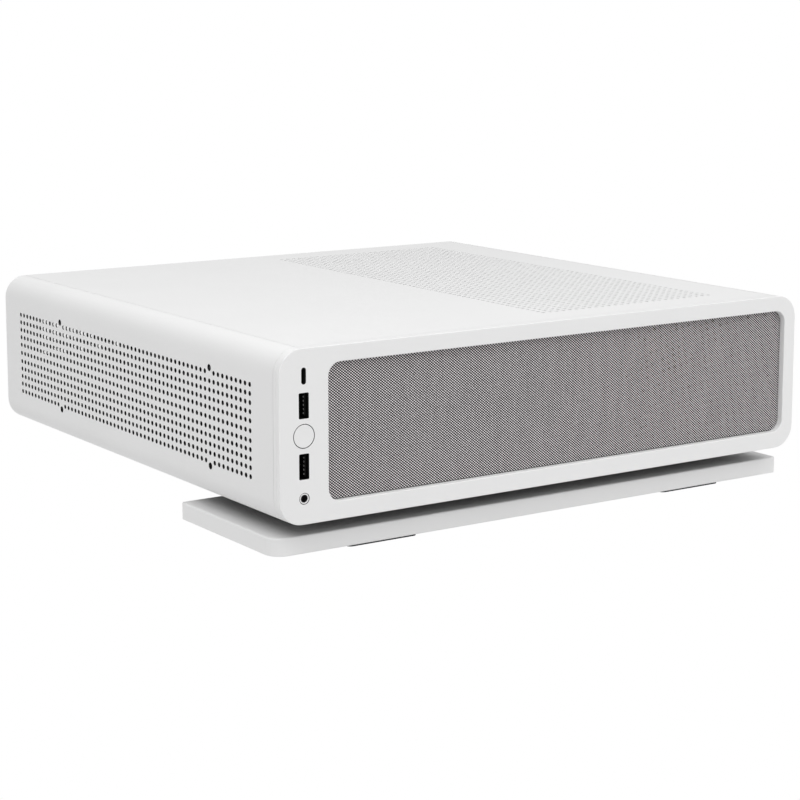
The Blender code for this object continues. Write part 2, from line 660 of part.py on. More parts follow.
def graphics_card():
    """The card's board, heat sink, shroud with two fans, rear bracket, and the riser that carries it."""
    x0, y0, x1, y1 = CARD
    top = CARD_BOTTOM + 1.6
    edge = ((x0, 128), (x0 - 6, 128), (x0 - 6, 40), (x0, 40))
    board = [(x0, y0), (x1, y0), (x1, y1), (x0, y1), *edge]
    flat("card_board", [board], "XY", CARD_BOTTOM, top, CIRCUIT)
    heights = (top + GAP, top + 4, top + 20)
    comb("card_heat_sink", (x0 + 3, x1 - 3), heights, 18, (y0 + 3, y1 - 12), ALUMINIUM)
    outline = rounded(x0, y0, x1, y1 - 8, 6, 3)
    centre_x = (x0 + x1) / 2
    fans = ((-1, "front", y0 + 62), (1, "rear", y1 - 72))
    holes = [circle((centre_x, y), 46, 40) for _, _, y in fans]
    shroud_bottom = top + 20 + GAP
    shroud_top = shroud_bottom + 13
    shroud = flat("card_shroud", [outline, *holes], "XY", shroud_bottom, shroud_top, GREY_PLASTIC)
    arms = []
    for _, word, y in fans:
        arm = ((centre_x - 50, y - 4, shroud_bottom + 0.1), (centre_x + 50, y + 4, shroud_bottom + 1.6))
        arms.append(box(f"card_arm_{word}", *arm, GREY_PLASTIC))
    join(shroud, arms)
    for turn, word, y in fans:
        centre = (centre_x, y, shroud_bottom + 7.4)
        rotor(f"card_fan_{word}_rotor", centre, 44.5, 15, 10.0, 9, turn, BLACK_PLASTIC)

    tabs = rectangle(x0 + 3, CARD_BOTTOM - 1.5, x1 - 1, CARD_BOTTOM + 37)
    sockets = [rectangle(x, CARD_BOTTOM + 3, x + 18, CARD_BOTTOM + 10) for x in (26, 50, 74, 98)]
    vents = [rectangle(x, CARD_BOTTOM + 16, x + 5, CARD_BOTTOM + 33) for x in range(24, 112, 8)]
    flat("card_bracket", [tabs, *sockets, *vents], "XZ", WALL_FRONT - 1.3, WALL_FRONT - 0.4, STEEL_PLATE)

    riser_x = BOARD[2] - 8
    riser_low = BOARD_TOP + 11.3
    outline = rectangle(36, riser_low, 134, 62)
    riser = flat("riser_card", [outline], "YZ", riser_x - 0.8, riser_x + 0.8, CIRCUIT)
    reach = DIVIDER_X + STEEL + 2.2
    connector = box("riser_connector", (riser_x + 0.5, 38, 42), (reach, 130, 51.5), BLACK_PLASTIC)
    slit = ((-4, 39.4, CARD_BOTTOM - GAP), (reach + 0.8, 128.6, top + GAP))
    cut(join(riser, [connector]), [box("riser_mouth", *slit, BLACK_PLASTIC)])


def storage():
    """A drive held upright by a bracket at the right-hand wall."""
    bracket = flat("drive_bracket", [rectangle(-58, 30, 48, 104)], "YZ", 171.0, 171.0 + STEEL, BLACK_METAL)
    foot = box("bracket_foot", (150, -58, 25.2), (171.5, 48, 26.4), BLACK_METAL)
    wall = box("bracket_wall", (170.9, -58, 25.2), (172.2, 48, 31), BLACK_METAL)
    join(bracket, [foot, wall])
    box("storage_drive", (172.5, -55, 32), (179.5, 45, 102), BLACK_METAL)


def case_fans():
    sizes = (CASE_FAN_SIZE, 25.0, 66.5)
    for word, y in (("front", -CASE_FAN_Y), ("rear", CASE_FAN_Y)):
        fan(f"case_fan_{word}", CASE_FAN_X, y, CASE_FAN_BOTTOM, sizes, WHITE_PLASTIC)


def cables():
    """Leads that are held inside the case from end to end."""
    low = Vector(PSU_LOW)
    plug_x = low.x + 45 + GAP
    mains = [(plug_x, low.y - 7, 54), (plug_x + 4, low.y - 7, 54), (-104, low.y - 7, 54)]
    mains += [(-80, low.y - 8, 44), (-40, low.y - 7, 33), (-10, -155, 30), (20, -155, 30), (110, -155, 29)]
    mains += [(146, -142, 29), (157, -110, 30), (159, -70, 32), (160, -30, 34), (160, 30, 34)]
    mains += [(162, 90, 38), (164, 130, 42), (164, WALL_REAR - 24 - GAP, 42)]
    tube("mains_cable", mains, 3.5, BLACK_PLASTIC)

    start = low.y + PSU_SIZE[1] + GAP
    end = BOARD_TOP + 13 + GAP
    board = [(-90, start, 58), (-90, start + 4, 58), (-90, start + 12, 58), (-112, -18, 62), (-150, 2, 67)]
    board += [(-168, 26, 69), (-170, 43, 64), (-170, 46, 54), (-170, 46, end + 6), (-170, 46, end)]
    tube("board_power_cable", board, 4.0, BLACK_PLASTIC)

    card = [(-60, start, 50), (-60, start + 4, 50), (-60, start + 10, 50), (-50, -27, 44), (-34, -34, 37)]
    card += [(-20, -62, 36), (-6, -90, 36), (12, -106, 37), (44, -114, 44), (72, -116, 52), (90, -108, 58)]
    card += [(90, CARD[1] - GAP, 58)]
    tube("card_power_cable", card, 3.0, BLACK_PLASTIC)

    panel_x = PORT_X + 4
    panel = [(panel_x, IO_BOARD_FRONT + 1.6 + GAP, 60), (panel_x, -151, 60), (-171, -130, 57)]
    panel += [(-172, -60, 44), (-171, -30, 36), (-160, -12, 32), (-142, -3, 31), (-126, -2.6, 31)]
    tube("front_panel_cable", panel, 2.0, BLACK_PLASTIC)


covers()
front_cover()
frame_walls()
base()
front_ports()
motherboard()
power_supply()
graphics_card()
storage()
case_fans()
cables()
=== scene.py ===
"""Looks of the slim desktop computer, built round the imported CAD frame.

Lengths are in millimetres, and MM turns them into metres. +X is the right side seen from the
front, -Y is the front and +Z is up, as in the frame. Most places come from the frame's nodes. The
other heights are counted from LEVEL, a plane just above the desk, as in the CAD.
"""

import json
import math
import random
from itertools import product

import bmesh
import bpy
from mathutils import Matrix, Vector
from mathutils.geometry import tessellate_polygon


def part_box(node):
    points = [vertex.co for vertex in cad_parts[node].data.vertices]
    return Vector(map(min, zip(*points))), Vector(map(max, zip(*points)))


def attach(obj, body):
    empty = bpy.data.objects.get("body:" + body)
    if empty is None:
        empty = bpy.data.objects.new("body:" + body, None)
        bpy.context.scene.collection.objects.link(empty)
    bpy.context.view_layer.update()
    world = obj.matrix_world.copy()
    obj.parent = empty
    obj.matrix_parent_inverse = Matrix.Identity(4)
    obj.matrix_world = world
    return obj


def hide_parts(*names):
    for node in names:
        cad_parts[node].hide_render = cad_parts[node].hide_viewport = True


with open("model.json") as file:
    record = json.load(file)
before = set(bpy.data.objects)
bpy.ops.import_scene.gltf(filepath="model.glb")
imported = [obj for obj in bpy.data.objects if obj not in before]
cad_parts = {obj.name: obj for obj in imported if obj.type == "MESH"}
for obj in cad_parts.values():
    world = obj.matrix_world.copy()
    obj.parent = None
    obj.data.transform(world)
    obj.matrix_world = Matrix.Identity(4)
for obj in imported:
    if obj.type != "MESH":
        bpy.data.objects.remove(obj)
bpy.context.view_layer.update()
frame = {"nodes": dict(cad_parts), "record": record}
MM = 0.001
SHARP_ANGLE = 35


# ---------------------------------------------------------------- materials

class Nodes:
    """A shader tree under construction. A value may be a number, a colour or a node's output."""

    def __init__(self, tree):
        self.tree = tree

    def plug(self, socket, value):
        if isinstance(value, bpy.types.NodeSocket):
            self.tree.links.new(value, socket)
        else:
            socket.default_value = value

    def node(self, kind, output, settings=None, inputs=None):
        """Adds a node and returns one of its outputs."""
        made = self.tree.nodes.new("ShaderNode" + kind)
        for name, value in (settings or {}).items():
            setattr(made, name, value)
        for name, value in (inputs or {}).items():
            self.plug(made.inputs[name], value)
        return made.outputs[output]

    def math(self, operation, first, second=0.0, third=0.0):
        inputs = {0: first, 1: second, 2: third}
        return self.node("Math", 0, {"operation": operation}, inputs)

    def parts(self, vector):
        """The X, Y and Z of a vector, as the outputs of one node."""
        made = self.tree.nodes.new("ShaderNodeSeparateXYZ")
        self.plug(made.inputs[0], vector)
        return made.outputs

    def ramp(self, value, low, high, start=0.0, end=1.0):
        """The value, taken from one range to another and held inside it."""
        inputs = {"Value": value, "From Min": low, "From Max": high, "To Min": start, "To Max": end}
        return self.node("MapRange", 0, inputs=inputs)


class Finish(Nodes):
    """A material under construction, with its Principled shader."""

    def __init__(self, name, colour, roughness, metallic=0.0, **sockets):
        self.material = bpy.data.materials.new(name)
        self.material.use_nodes = True
        super().__init__(self.material.node_tree)
        self.shader = self.tree.nodes["Principled BSDF"]
        self.feed("Base Color", (*colour, 1.0))
        self.feed("Roughness", roughness)
        self.feed("Metallic", metallic)
        for socket, value in sockets.items():
            self.feed(socket.replace("_", " "), value)
        self.place = self.node("TexCoord", "Object")

    def feed(self, socket, value):
        self.plug(self.shader.inputs[socket], value)

    def noise(self, size, detail=2.0, place=None):
        """Noise whose grain is this many millimetres."""
        inputs = {"Vector": place or self.place, "Scale": 1 / (size * MM), "Detail": detail}
        return self.node("TexNoise", 0, inputs=inputs)

    def stretched(self, size, detail, scale):
        """Noise over coordinates that are scaled along each axis."""
        place = self.node("Mapping", 0, inputs={"Vector": self.place, "Scale": scale})
        return self.noise(size, detail, place)

    def cells(self, density, settings=None):
        """Distances in a pattern of cells, this many to a metre."""
        inputs = {"Vector": self.place, "Scale": density}
        return self.node("TexVoronoi", "Distance", settings, inputs)

    def mix(self, factor, first, second):
        """A blend of two colours."""
        made = self.tree.nodes.new("ShaderNodeMix")
        made.data_type = "RGBA"
        self.plug(made.inputs["Factor"], factor)
        for socket, value in (("A", first), ("B", second)):
            colour = value if isinstance(value, bpy.types.NodeSocket) else (*value, 1.0)
            self.plug([s for s in made.inputs if s.name == socket and s.type == "RGBA"][0], colour)
        return [s for s in made.outputs if s.type == "RGBA"][0]

    def tone(self, pattern, low, high, first, second):
        """A base colour that goes from one to the other as the pattern rises."""
        self.feed("Base Color", self.mix(self.ramp(pattern, low, high), first, second))

    def gloss(self, pattern, least, most):
        """A roughness that follows the pattern."""
        self.feed("Roughness", self.ramp(pattern, 0.3, 0.7, least, most))

    def bump(self, height, depth, strength=1.0):
        """Relief of this depth in millimetres."""
        inputs = {"Height": height, "Distance": depth * MM, "Strength": strength}
        self.feed("Normal", self.node("Bump", "Normal", inputs=inputs))


def scaled(colour, factor):
    return tuple(part * factor for part in colour)


def paint(name, colour, roughness, grain, depth, **sockets):
    """Powder coat or moulded plastic: an even colour over a fine grain, a little uneven in gloss."""
    made = Finish(name, colour, roughness, **sockets)
    made.tone(made.noise(grain * 200, 3.0), 0.3, 0.7, scaled(colour, 0.985), colour)
    made.gloss(made.noise(grain * 8), roughness - 0.04, roughness + 0.04)
    made.bump(made.noise(grain, 1.0), depth)
    return made.material


def brushed(name, colour, roughness, along, grain=0.25):
    """Bare metal with fine marks along one axis."""
    made = Finish(name, colour, roughness, 1.0)
    scale = [1.0, 1.0, 1.0]
    scale["XYZ".index(along)] = 0.03
    marks = made.stretched(grain, 2.0, scale)
    made.gloss(marks, roughness - 0.1, roughness + 0.1)
    made.tone(marks, 0.35, 0.65, scaled(colour, 0.88), colour)
    made.bump(marks, 0.01, 0.6)
    return made.material


def zinc(name):
    """Plated sheet steel with soft cloudy patches."""
    made = Finish(name, (0.66, 0.67, 0.68), 0.32, 1.0)
    cloud = made.noise(6.0, 4.0)
    made.tone(cloud, 0.35, 0.65, (0.58, 0.59, 0.6), (0.72, 0.73, 0.74))
    made.gloss(cloud, 0.25, 0.42)
    made.bump(made.noise(0.4, 2.0), 0.006)
    return made.material


def circuit(name, mask, trace):
    """Solder mask over copper lines, with small plated holes."""
    plating = (0.5, 0.42, 0.25)
    made = Finish(name, mask, 0.35, Coat_Weight=0.3, Coat_Roughness=0.2)
    lines = made.cells(210.0, {"feature": "DISTANCE_TO_EDGE"})
    runs = made.cells(420.0, {"distance": "CHEBYCHEV"})
    stripes = made.math("PINGPONG", runs, 0.16)
    copper = made.math("MULTIPLY", made.ramp(stripes, 0.06, 0.08), made.ramp(lines, 0.02, 0.03))
    ring = made.ramp(made.cells(260.0), 0.1, 0.13, 1.0, 0.0)
    made.feed("Base Color", made.mix(ring, made.mix(copper, mask, trace), plating))
    made.bump(made.math("ADD", copper, ring), 0.03, 0.7)
    return made.material


def rubber(name):
    """Matt black rubber with a fine grain."""
    made = Finish(name, (0.025, 0.025, 0.026), 0.85)
    grain = made.noise(0.3, 3.0)
    made.tone(grain, 0.3, 0.7, (0.02, 0.02, 0.021), (0.04, 0.04, 0.042))
    made.bump(grain, 0.03)
    return made.material


def cable(name, colour):
    """A sleeve of dark threads with small, paler knots."""
    made = Finish(name, colour, 0.6, Sheen_Weight=0.3)
    knots = made.cells(1500.0)
    pale = tuple(min(1.0, part * 2.2 + 0.01) for part in colour)
    made.tone(knots, 0.2, 0.6, pale, colour)
    made.bump(knots, 0.15, 0.8)
    return made.material


WEAVE_ACROSS = 1.93
WEAVE_UP = 1.50
WEAVE_DARK = (0.015, 0.013, 0.0135)
WEAVE_LIGHT = (1.0, 0.965, 0.975)


def weave(name):
    """Light yarn over dark, in short floats that line up along one diagonal more than the other."""
    rising_share = 0.72
    slub_share = 0.045
    made = Finish(name, WEAVE_LIGHT, 0.9, Specular_IOR_Level=0.15)
    axes = made.parts(made.place)
    across = made.math("MULTIPLY", axes["X"], 2 * math.pi / (WEAVE_ACROSS * MM))
    up = made.math("MULTIPLY", axes["Z"], 2 * math.pi / (WEAVE_UP * MM))
    falling = made.math("COSINE", made.math("ADD", across, up))
    rising = made.math("COSINE", made.math("SUBTRACT", across, up))
    floats = made.math("MULTIPLY_ADD", rising, rising_share, falling)
    slub = made.stretched(7.0, 3.0, (1.8, 1.0, 0.2))
    thick = made.math("ADD", floats, made.ramp(slub, 0.3, 0.7, -slub_share, slub_share))
    light = made.ramp(thick, 0.12, 1.06)
    fibre = made.noise(0.12, 3.0)
    light = made.math("MULTIPLY", light, made.ramp(fibre, 0.2, 0.8, 0.93, 1.05))
    made.feed("Base Color", made.mix(light, WEAVE_DARK, WEAVE_LIGHT))
    made.bump(made.math("MULTIPLY_ADD", fibre, 0.1, floats), 0.03, 0.4)
    return made.material


MATERIALS = {
    "white_paint": paint("white_paint", (0.80, 0.80, 0.80), 0.5, 0.35, 0.012),
    "white_plastic": paint("white_plastic", (0.805, 0.805, 0.805), 0.45, 0.2, 0.006),
    "grey_weave": weave("grey_weave"),
    "black_plastic": paint("black_plastic", (0.022, 0.022, 0.023), 0.5, 0.3, 0.01),
    "black_metal": paint("black_metal", (0.018, 0.018, 0.019), 0.42, 0.4, 0.015),
    "grey_plastic": paint("grey_plastic", (0.06, 0.06, 0.064), 0.48, 0.3, 0.01),
    "circuit_board": circuit("circuit_board", (0.012, 0.022, 0.018), (0.02, 0.045, 0.034)),
    "aluminium": brushed("aluminium", (0.8, 0.81, 0.82), 0.35, "Y"),
    "plated_steel": zinc("plated_steel"),
    "rubber": rubber("rubber"),
}
PAINT = MATERIALS["white_paint"]
PLASTIC = MATERIALS["white_plastic"]
BLACK = MATERIALS["black_plastic"]
BLACK_METAL = MATERIALS["black_metal"]
STEEL = MATERIALS["plated_steel"]
BOARD = MATERIALS["circuit_board"]
ALUMINIUM = MATERIALS["aluminium"]
GREY = MATERIALS["grey_plastic"]
RUBBER = MATERIALS["rubber"]
GOLD = brushed("gold_contacts", (0.9, 0.66, 0.3), 0.3, "X")
SLEEVE = cable("cable_sleeve", (0.012, 0.012, 0.013))
CONTACT = paint("dark_contacts", (0.3, 0.3, 0.3), 0.4, 0.2, 0.004)
SOCKET_TONE = (0.004, 0.004, 0.004)
SOCKET_BLACK = paint("socket_black", SOCKET_TONE, 0.7, 0.2, 0.004, Specular_IOR_Level=0.08)
# a dark grey for the bottom panel's underside: painted shade, which cuts the light bounced into the gap
# so that the base's top lies darker
UNDERSIDE_PAINTED_SHADE = paint("underside_painted_shade", (0.16, 0.16, 0.16), 0.7, 0.3, 0.01)
TAN = paint("ceramic", (0.28, 0.2, 0.13), 0.45, 0.2, 0.004)


# ---------------------------------------------------------------- outlines

def evenly(start, step, count):
    return [start + step * i for i in range(count)]


def arc(centre, radius, start, end, steps):
    """Points on an arc, from one angle to another in degrees."""
    angles = [math.radians(start + (end - start) * i / steps) for i in range(steps + 1)]
    return [(centre[0] + radius * math.cos(a), centre[1] + radius * math.sin(a)) for a in angles]


def circle(centre, radius, steps=32):
    return arc(centre, radius, 0, 360, steps)[:-1]


def rectangle(x0, y0, x1, y1):
    return [(x0, y0), (x1, y0), (x1, y1), (x0, y1)]


def round_corners(x0, y0, x1, y1, radii, steps=8):
    """A rectangle whose four corners have their own radii, anticlockwise from the first corner."""
    points = []
    inward = ((x0, y0, 1, 1), (x1, y0, -1, 1), (x1, y1, -1, -1), (x0, y1, 1, -1))
    for number, ((x, y, inward_x, inward_y), radius) in enumerate(zip(inward, radii)):
        centre = (x + inward_x * radius, y + inward_y * radius)
        points += arc(centre, radius, 180 + 90 * number, 270 + 90 * number, steps)
    return points


def rounded(x0, y0, x1, y1, radius, steps=8):
    return round_corners(x0, y0, x1, y1, (radius,) * 4, steps)


def slotted(x0, y0, x1, y1, steps=6):
    """A slot with half-round ends along its longer side."""
    radius = min(x1 - x0, y1 - y0) / 2
    return rounded(x0, y0, x1, y1, radius * 0.999, steps)


def shifted(path, by, closed=True):
    """The path moved to its left by a distance, with mitred corners."""
    points = [Vector(p) for p in path]
    before = points[-1:] + points[:-1]
    after = points[1:] + points[:1]
    if not closed:
        before[0] = 2 * points[0] - points[1]
        after[-1] = 2 * points[-1] - points[-2]
    moved = []
    for a, b, c in zip(before, points, after):
        came = (b - a).normalized()
        goes = (c - b).normalized()
        left = Vector((-came.y - goes.y, came.x + goes.x))
        moved.append(b + left * (by / (1 + came.dot(goes))))
    return moved


def soft_edges(thickness, front=0.0, back=0.0, steps=3):
    """(inset, depth) rings through a plate whose front and back edges are rounded off."""
    quarter = [math.pi / 2 * i / steps for i in range(steps + 1)]
    curve = [(1 - math.sin(a), 1 - math.cos(a)) for a in quarter]
    rings = [(front * inset, front * depth) for inset, depth in curve] if front else [(0.0, 0.0)]
    if back:
        return rings + [(back * inset, thickness - back * depth) for inset, depth in curve[::-1]]
    return rings + [(0.0, thickness)]


# ---------------------------------------------------------------- shapes

TO_WORLD = {
    "XY": lambda u, v, w: (u, v, w),
    "XZ": lambda u, v, w: (u, w, v),
    "YZ": lambda u, v, w: (w, u, v),
    "ZX": lambda u, v, w: (v, w, u),
}
ACROSS = {"X": "YZ", "Y": "ZX", "Z": "XY"}


def unique(parts):
    """The parts without repeats, in the order in which they first come."""
    return list(dict.fromkeys(parts))


class Shape:
    """Collects closed forms, in millimetres, and makes one object of them."""

    def __init__(self):
        self.mesh = bmesh.new()
        self.materials = []

    def tint(self, faces, finish):
        """Gives some faces of a finished form another material."""
        if finish not in self.materials:
            self.materials.append(finish)
        for face in faces:
            face.material_index = self.materials.index(finish)

    def paint(self, faces, finish):
        """Gives faces a material, and turns a closed form's faces outwards."""
        self.tint(faces, finish)
        bmesh.ops.recalc_face_normals(self.mesh, faces=faces)

    def tint_where(self, test, finish):
        """Gives another material to the faces whose middle passes a test."""
        faces = [face for face in self.mesh.faces if test(face.calc_center_median())]
        self.tint(faces, finish)

    def box(self, low, high, finish, soft=0.0, steps=1, turn=None):
        """A block with softened edges, which a matrix may turn about its middle."""
        low, high = Vector(low), Vector(high)
        made = bmesh.ops.create_cube(self.mesh, size=1.0)["verts"]
        bmesh.ops.scale(self.mesh, vec=high - low, verts=made)
        faces = unique(face for vert in made for face in vert.link_faces)
        if soft:
            edges = unique(edge for vert in made for edge in vert.link_edges)
            made = bmesh.ops.bevel(self.mesh, geom=edges, offset=soft, segments=steps,
                                   affect="EDGES", profile=0.5)
            faces = unique(face for vert in made["verts"] for face in vert.link_faces)
        verts = unique(vert for face in faces for vert in face.verts)
        if turn:
            bmesh.ops.transform(self.mesh, matrix=turn, verts=verts)
        bmesh.ops.translate(self.mesh, vec=(low + high) / 2, verts=verts)
        self.paint(faces, finish)
        return self

    def row(self, low, size, step, count, finish, soft=0.0):
        """Equal blocks in a row, from the first one's low corner."""
        for number in range(count):
            corner = Vector(low) + Vector(step) * number
            self.box(corner, corner + Vector(size), finish, soft)

    def strip(self, rings, closed=True):
        """Quads between rings of the same length; closed joins each ring's ends."""
        faces = []
        for one, two in zip(rings, rings[1:]):
            count = len(one)
            for k in range(count if closed else count - 1):
                n = (k + 1) % count
                quad = (one[k], one[n], two[n], two[k])
                distinct = [v for j, v in enumerate(quad) if v not in quad[:j]]
                if len(distinct) > 2:
                    faces.append(self.mesh.faces.new(distinct))
        return faces

    def plate(self, loops, rings, plane, at, finish, toward=1):
        """A plate from its front face at a height, through its (inset, depth) rings.

        The first loop is the outline, and the others are holes, which their insets widen. One list
        of rings serves all loops, or there is a list for each loop.
        """
        place = TO_WORLD[plane]
        if isinstance(rings[0], tuple):
            rings = [rings] * len(loops)
        faces = []
        caps = [[], []]
        for number, (loop, own_rings) in enumerate(zip(loops, rings)):
            area = sum(a[0] * b[1] - b[0] * a[1] for a, b in zip(loop, loop[1:] + loop[:1]))
            loop = loop if area > 0 else loop[::-1]
            sign = -1 if number else 1
            verts = []
            for inset, depth in own_rings:
                spots = [place(x, y, at + toward * depth) for x, y in shifted(loop, sign * inset)]
                verts.append([self.mesh.verts.new(spot) for spot in spots])
            faces += self.strip(verts)
            caps[0].append(verts[0])
            caps[1].append(verts[-1])
        for cap in caps:
            flat = [vert for ring in cap for vert in ring]
            for triangle in tessellate_polygon([[vert.co for vert in ring] for ring in cap]):
                if len(set(triangle)) == 3:
                    faces.append(self.mesh.faces.new([flat[k] for k in triangle]))
        self.paint(faces, finish)
        return self

    def turned(self, profile, centre, finish, axis="Z", steps=32):
        """A round form: (radius, height) points that start and end on the axis."""
        place = TO_WORLD[ACROSS[axis]]
        rings = []
        for radius, height in profile:
            points = circle((0, 0), radius, steps) if radius else [(0.0, 0.0)]
            spots = [Vector(centre) + Vector(place(u, v, height)) for u, v in points]
            ring = [self.mesh.verts.new(spot) for spot in spots]
            rings.append(ring if radius else ring * steps)
        self.paint(self.strip(rings), finish)
        return self

    def perforated(self, outer, inner, holes, finish, steps=12, within=None):
        """A thick sheet over a grid of points; holes maps a block of cells to a radius.

        The holes' walls may have a finish of their own.
        """
        pairs = [[(self.mesh.verts.new(a), self.mesh.verts.new(b)) for a, b in zip(*column)]
                 for column in zip(outer, inner)]
        faces = []

        def skin(edge):
            faces.append(self.mesh.faces.new([pair[0] for pair in edge]))
            faces.append(self.mesh.faces.new([pair[1] for pair in reversed(edge)]))

        def rim(one, two):
            faces.append(self.mesh.faces.new((one[0], one[1], two[1], two[0])))

        covered = set()
        walls = []
        for (i0, j0, i1, j1), radius in holes.items():
            covered |= set(product(range(i0, i1), range(j0, j1)))
            sides = ([(i, j0) for i in range(i0, i1 + 1)],
                     [(i1, j) for j in range(j0, j1 + 1)],
                     [(i, j1) for i in range(i1, i0 - 1, -1)],
                     [(i0, j) for j in range(j1, j0 - 1, -1)])
            middles = []
            for k in range(2):
                a, b, c, d = (pairs[i][j][k].co for i, j in rectangle(i0, j0, i1, j1))
                middles.append(((a + b + c + d) / 4, (b - a).normalized(), (d - a).normalized()))
            ring = []
            for n in range(steps):
                angle = math.radians(225 + 360 * n / steps)
                spots = [m + (x * math.cos(angle) + y * math.sin(angle)) * radius
                         for m, x, y in middles]
                ring.append(tuple(self.mesh.verts.new(spot) for spot in spots))
            quarter = steps // 4
            for number, side in enumerate(sides):
                start = number * quarter
                near = [ring[(start + n) % steps] for n in range(quarter, -1, -1)]
                skin([pairs[i][j] for i, j in side] + near)
            for n in range(steps):
                rim(ring[n], ring[(n + 1) % steps])
            walls += faces[-steps:]
        last_i = len(pairs) - 1
        last_j = len(pairs[0]) - 1
        for i, j in product(range(last_i), range(last_j)):
            if (i, j) not in covered:
                skin([pairs[i][j], pairs[i + 1][j], pairs[i + 1][j + 1], pairs[i][j + 1]])
        for i in range(last_i):
            rim(pairs[i + 1][0], pairs[i][0])
            rim(pairs[i][last_j], pairs[i + 1][last_j])
        for j in range(last_j):
            rim(pairs[0][j], pairs[0][j + 1])
            rim(pairs[last_i][j + 1], pairs[last_i][j])
        self.paint(faces, finish)
        if within:
            self.tint(walls, within)
        return self

    def piece(self, name, body, slot, *nodes, weighted=True):
        """Ends the shape as an object that rides on a body and stands for its CAD nodes."""
        mesh = bpy.data.meshes.new(name)
        bmesh.ops.scale(self.mesh, vec=(MM, MM, MM), verts=self.mesh.verts)
        self.mesh.to_mesh(mesh)
        self.mesh.free()
        for finish in self.materials:
            mesh.materials.append(finish)
        mesh.shade_smooth()
        mesh.set_sharp_from_angle(angle=math.radians(SHARP_ANGLE))
        obj = bpy.data.objects.new(name, mesh)
        bpy.context.scene.collection.objects.link(obj)
        if weighted:
            shading = obj.modifiers.new("shading", "WEIGHTED_NORMAL")
            shading.keep_sharp = True
        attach(obj, body)
        if nodes:
            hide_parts(*nodes)
        return obj


def screw(shape, centre, axis, radius):
    """A domed steel head with a dark round socket, seated on a face."""
    turn = Vector((0, 0, 1)).rotation_difference(Vector(axis)).to_matrix()
    depth = radius * 0.45
    profile = [(radius, -0.3), (radius, depth * 0.5), (radius * 0.85, depth * 0.9),
               (radius * 0.5, depth), (radius * 0.5, 0.1)]
    rings = []
    for reach, height in profile:
        spots = [turn @ Vector((x, y, height)) for x, y in circle((0, 0), reach, 18)]
        rings.append([shape.mesh.verts.new(Vector(centre) + spot) for spot in spots])
    head = shape.strip(rings[:-1])
    well = shape.strip(rings[-2:])
    well += [shape.mesh.faces.new(rings[-1]), shape.mesh.faces.new(rings[0])]
    shape.paint(head + well, STEEL)
    shape.tint(well, BLACK)


# ---------------------------------------------------------------- the frame's nodes and places

BODY_OF = {}
for body, nodes in frame["record"]["behaviour"]["bodies"].items():
    BODY_OF.update(dict.fromkeys(nodes, body))
SLOT_OF = {part["node"]: part["material_slot"] for part in frame["record"]["subparts"]}
JOINTS = {joint["name"]: joint for joint in frame["record"]["behaviour"]["joints"]}


def corners(node):
    """A node's lowest and highest corners, in millimetres."""
    low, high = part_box(node)
    return Vector(low) / MM, Vector(high) / MM


def middle(node):
    low, high = corners(node)
    return (low + high) / 2


def pivot(joint):
    """Where a joint's axis stands, in millimetres."""
    return Vector(JOINTS[joint]["pos_m"]) / MM


def end_piece(shape, node, weighted=True):
    """Ends a shape that stands for this CAD node, on its body."""
    return shape.piece(node, BODY_OF[node], SLOT_OF[node], node, weighted=weighted)


def build(node, fill, *settings):
    """Makes a node's piece with a function that gets an empty shape and the node's corners."""
    low, high = corners(node)
    shape = Shape()
    fill(shape, low, high, (low + high) / 2, *settings)
    return end_piece(shape, node)


def build_each(*fills):
    """Makes the pieces whose functions are named after their nodes."""
    for fill in fills:
        build(fill.__name__, fill)


BEZEL_LOW, BEZEL_HIGH = corners("front_bezel")
TOP_LOW, TOP_HIGH = corners("top_panel")
LEFT, RIGHT = BEZEL_LOW.x, BEZEL_HIGH.x
FRONT = BEZEL_LOW.y
REAR = corners("left_side_cover")[1].y
BOTTOM, TOP = BEZEL_LOW.z, BEZEL_HIGH.z
MIDDLE = (BOTTOM + TOP) / 2
PORT_X = middle("usb_a_upper").x
LEVEL = 1.1
EDGE_RADIUS = 14.0
GAP = 0.3
SEAM = 0.16
# the covers' thickness in the CAD, and that of the visible sheet of the side covers
COVER = 1.5
SHEET = 0.8
FLANGE = 8.0
# the grids of holes, and the holes' radii in the wide panels, the side covers and for screws
PITCH = 5.0
HOLE = 1.36
SIDE_HOLE = 1.4
SCREW_HOLE = 2.0


# ---------------------------------------------------------------- covers

def side_cover(node, side):
    """A folded cover with a block of small holes, and four larger ones for its screws."""
    columns = 61
    rows = 11
    screw_columns = (13, 52)
    first_y = 155.6
    lowest_z = LEVEL + 40.0
    ys = [REAR, *evenly(first_y, -PITCH, columns + 1), BEZEL_HIGH.y + SEAM]
    half = (TOP - BOTTOM) / 2
    under = half - COVER - GAP
    upper = [(0.0, z - MIDDLE) for z in evenly(lowest_z - PITCH, PITCH, rows + 3) if z > MIDDLE]
    upper += arc((EDGE_RADIUS, half - EDGE_RADIUS), EDGE_RADIUS, 180, 90, 10)
    upper += [(EDGE_RADIUS, under), (EDGE_RADIUS + FLANGE, under)]
    profile = [(x, -z) for x, z in reversed(upper)] + upper
    rails = []
    for line in (profile, shifted(profile, -SHEET, closed=False)):
        spots = [(side * (RIGHT - inward), MIDDLE + height) for inward, height in line]
        rails.append([[Vector((x, y, z)) for x, z in spots] for y in ys])

    def miss(j):
        return abs(profile[j][0]) + abs(profile[j][1] + MIDDLE - lowest_z)

    bottom_row = min(range(len(profile)), key=miss)
    top_row = bottom_row + rows - 1
    holes = {(i, j, i + 1, j + 1): SIDE_HOLE
             for i in range(1, columns + 1) for j in range(bottom_row, top_row + 1)}
    for i in screw_columns:
        for taken, low in ((bottom_row, bottom_row - 1), (top_row, top_row)):
            del holes[(i, taken, i + 1, taken + 1)]
            holes[(i, low, i + 1, low + 2)] = SCREW_HOLE
    # the holes' walls are painted black: painted shade for the dark inside of the case seen through the
    # holes
    shape = Shape().perforated(*rails, holes, PAINT, steps=16, within=BLACK)
    end_piece(shape, node, weighted=False)


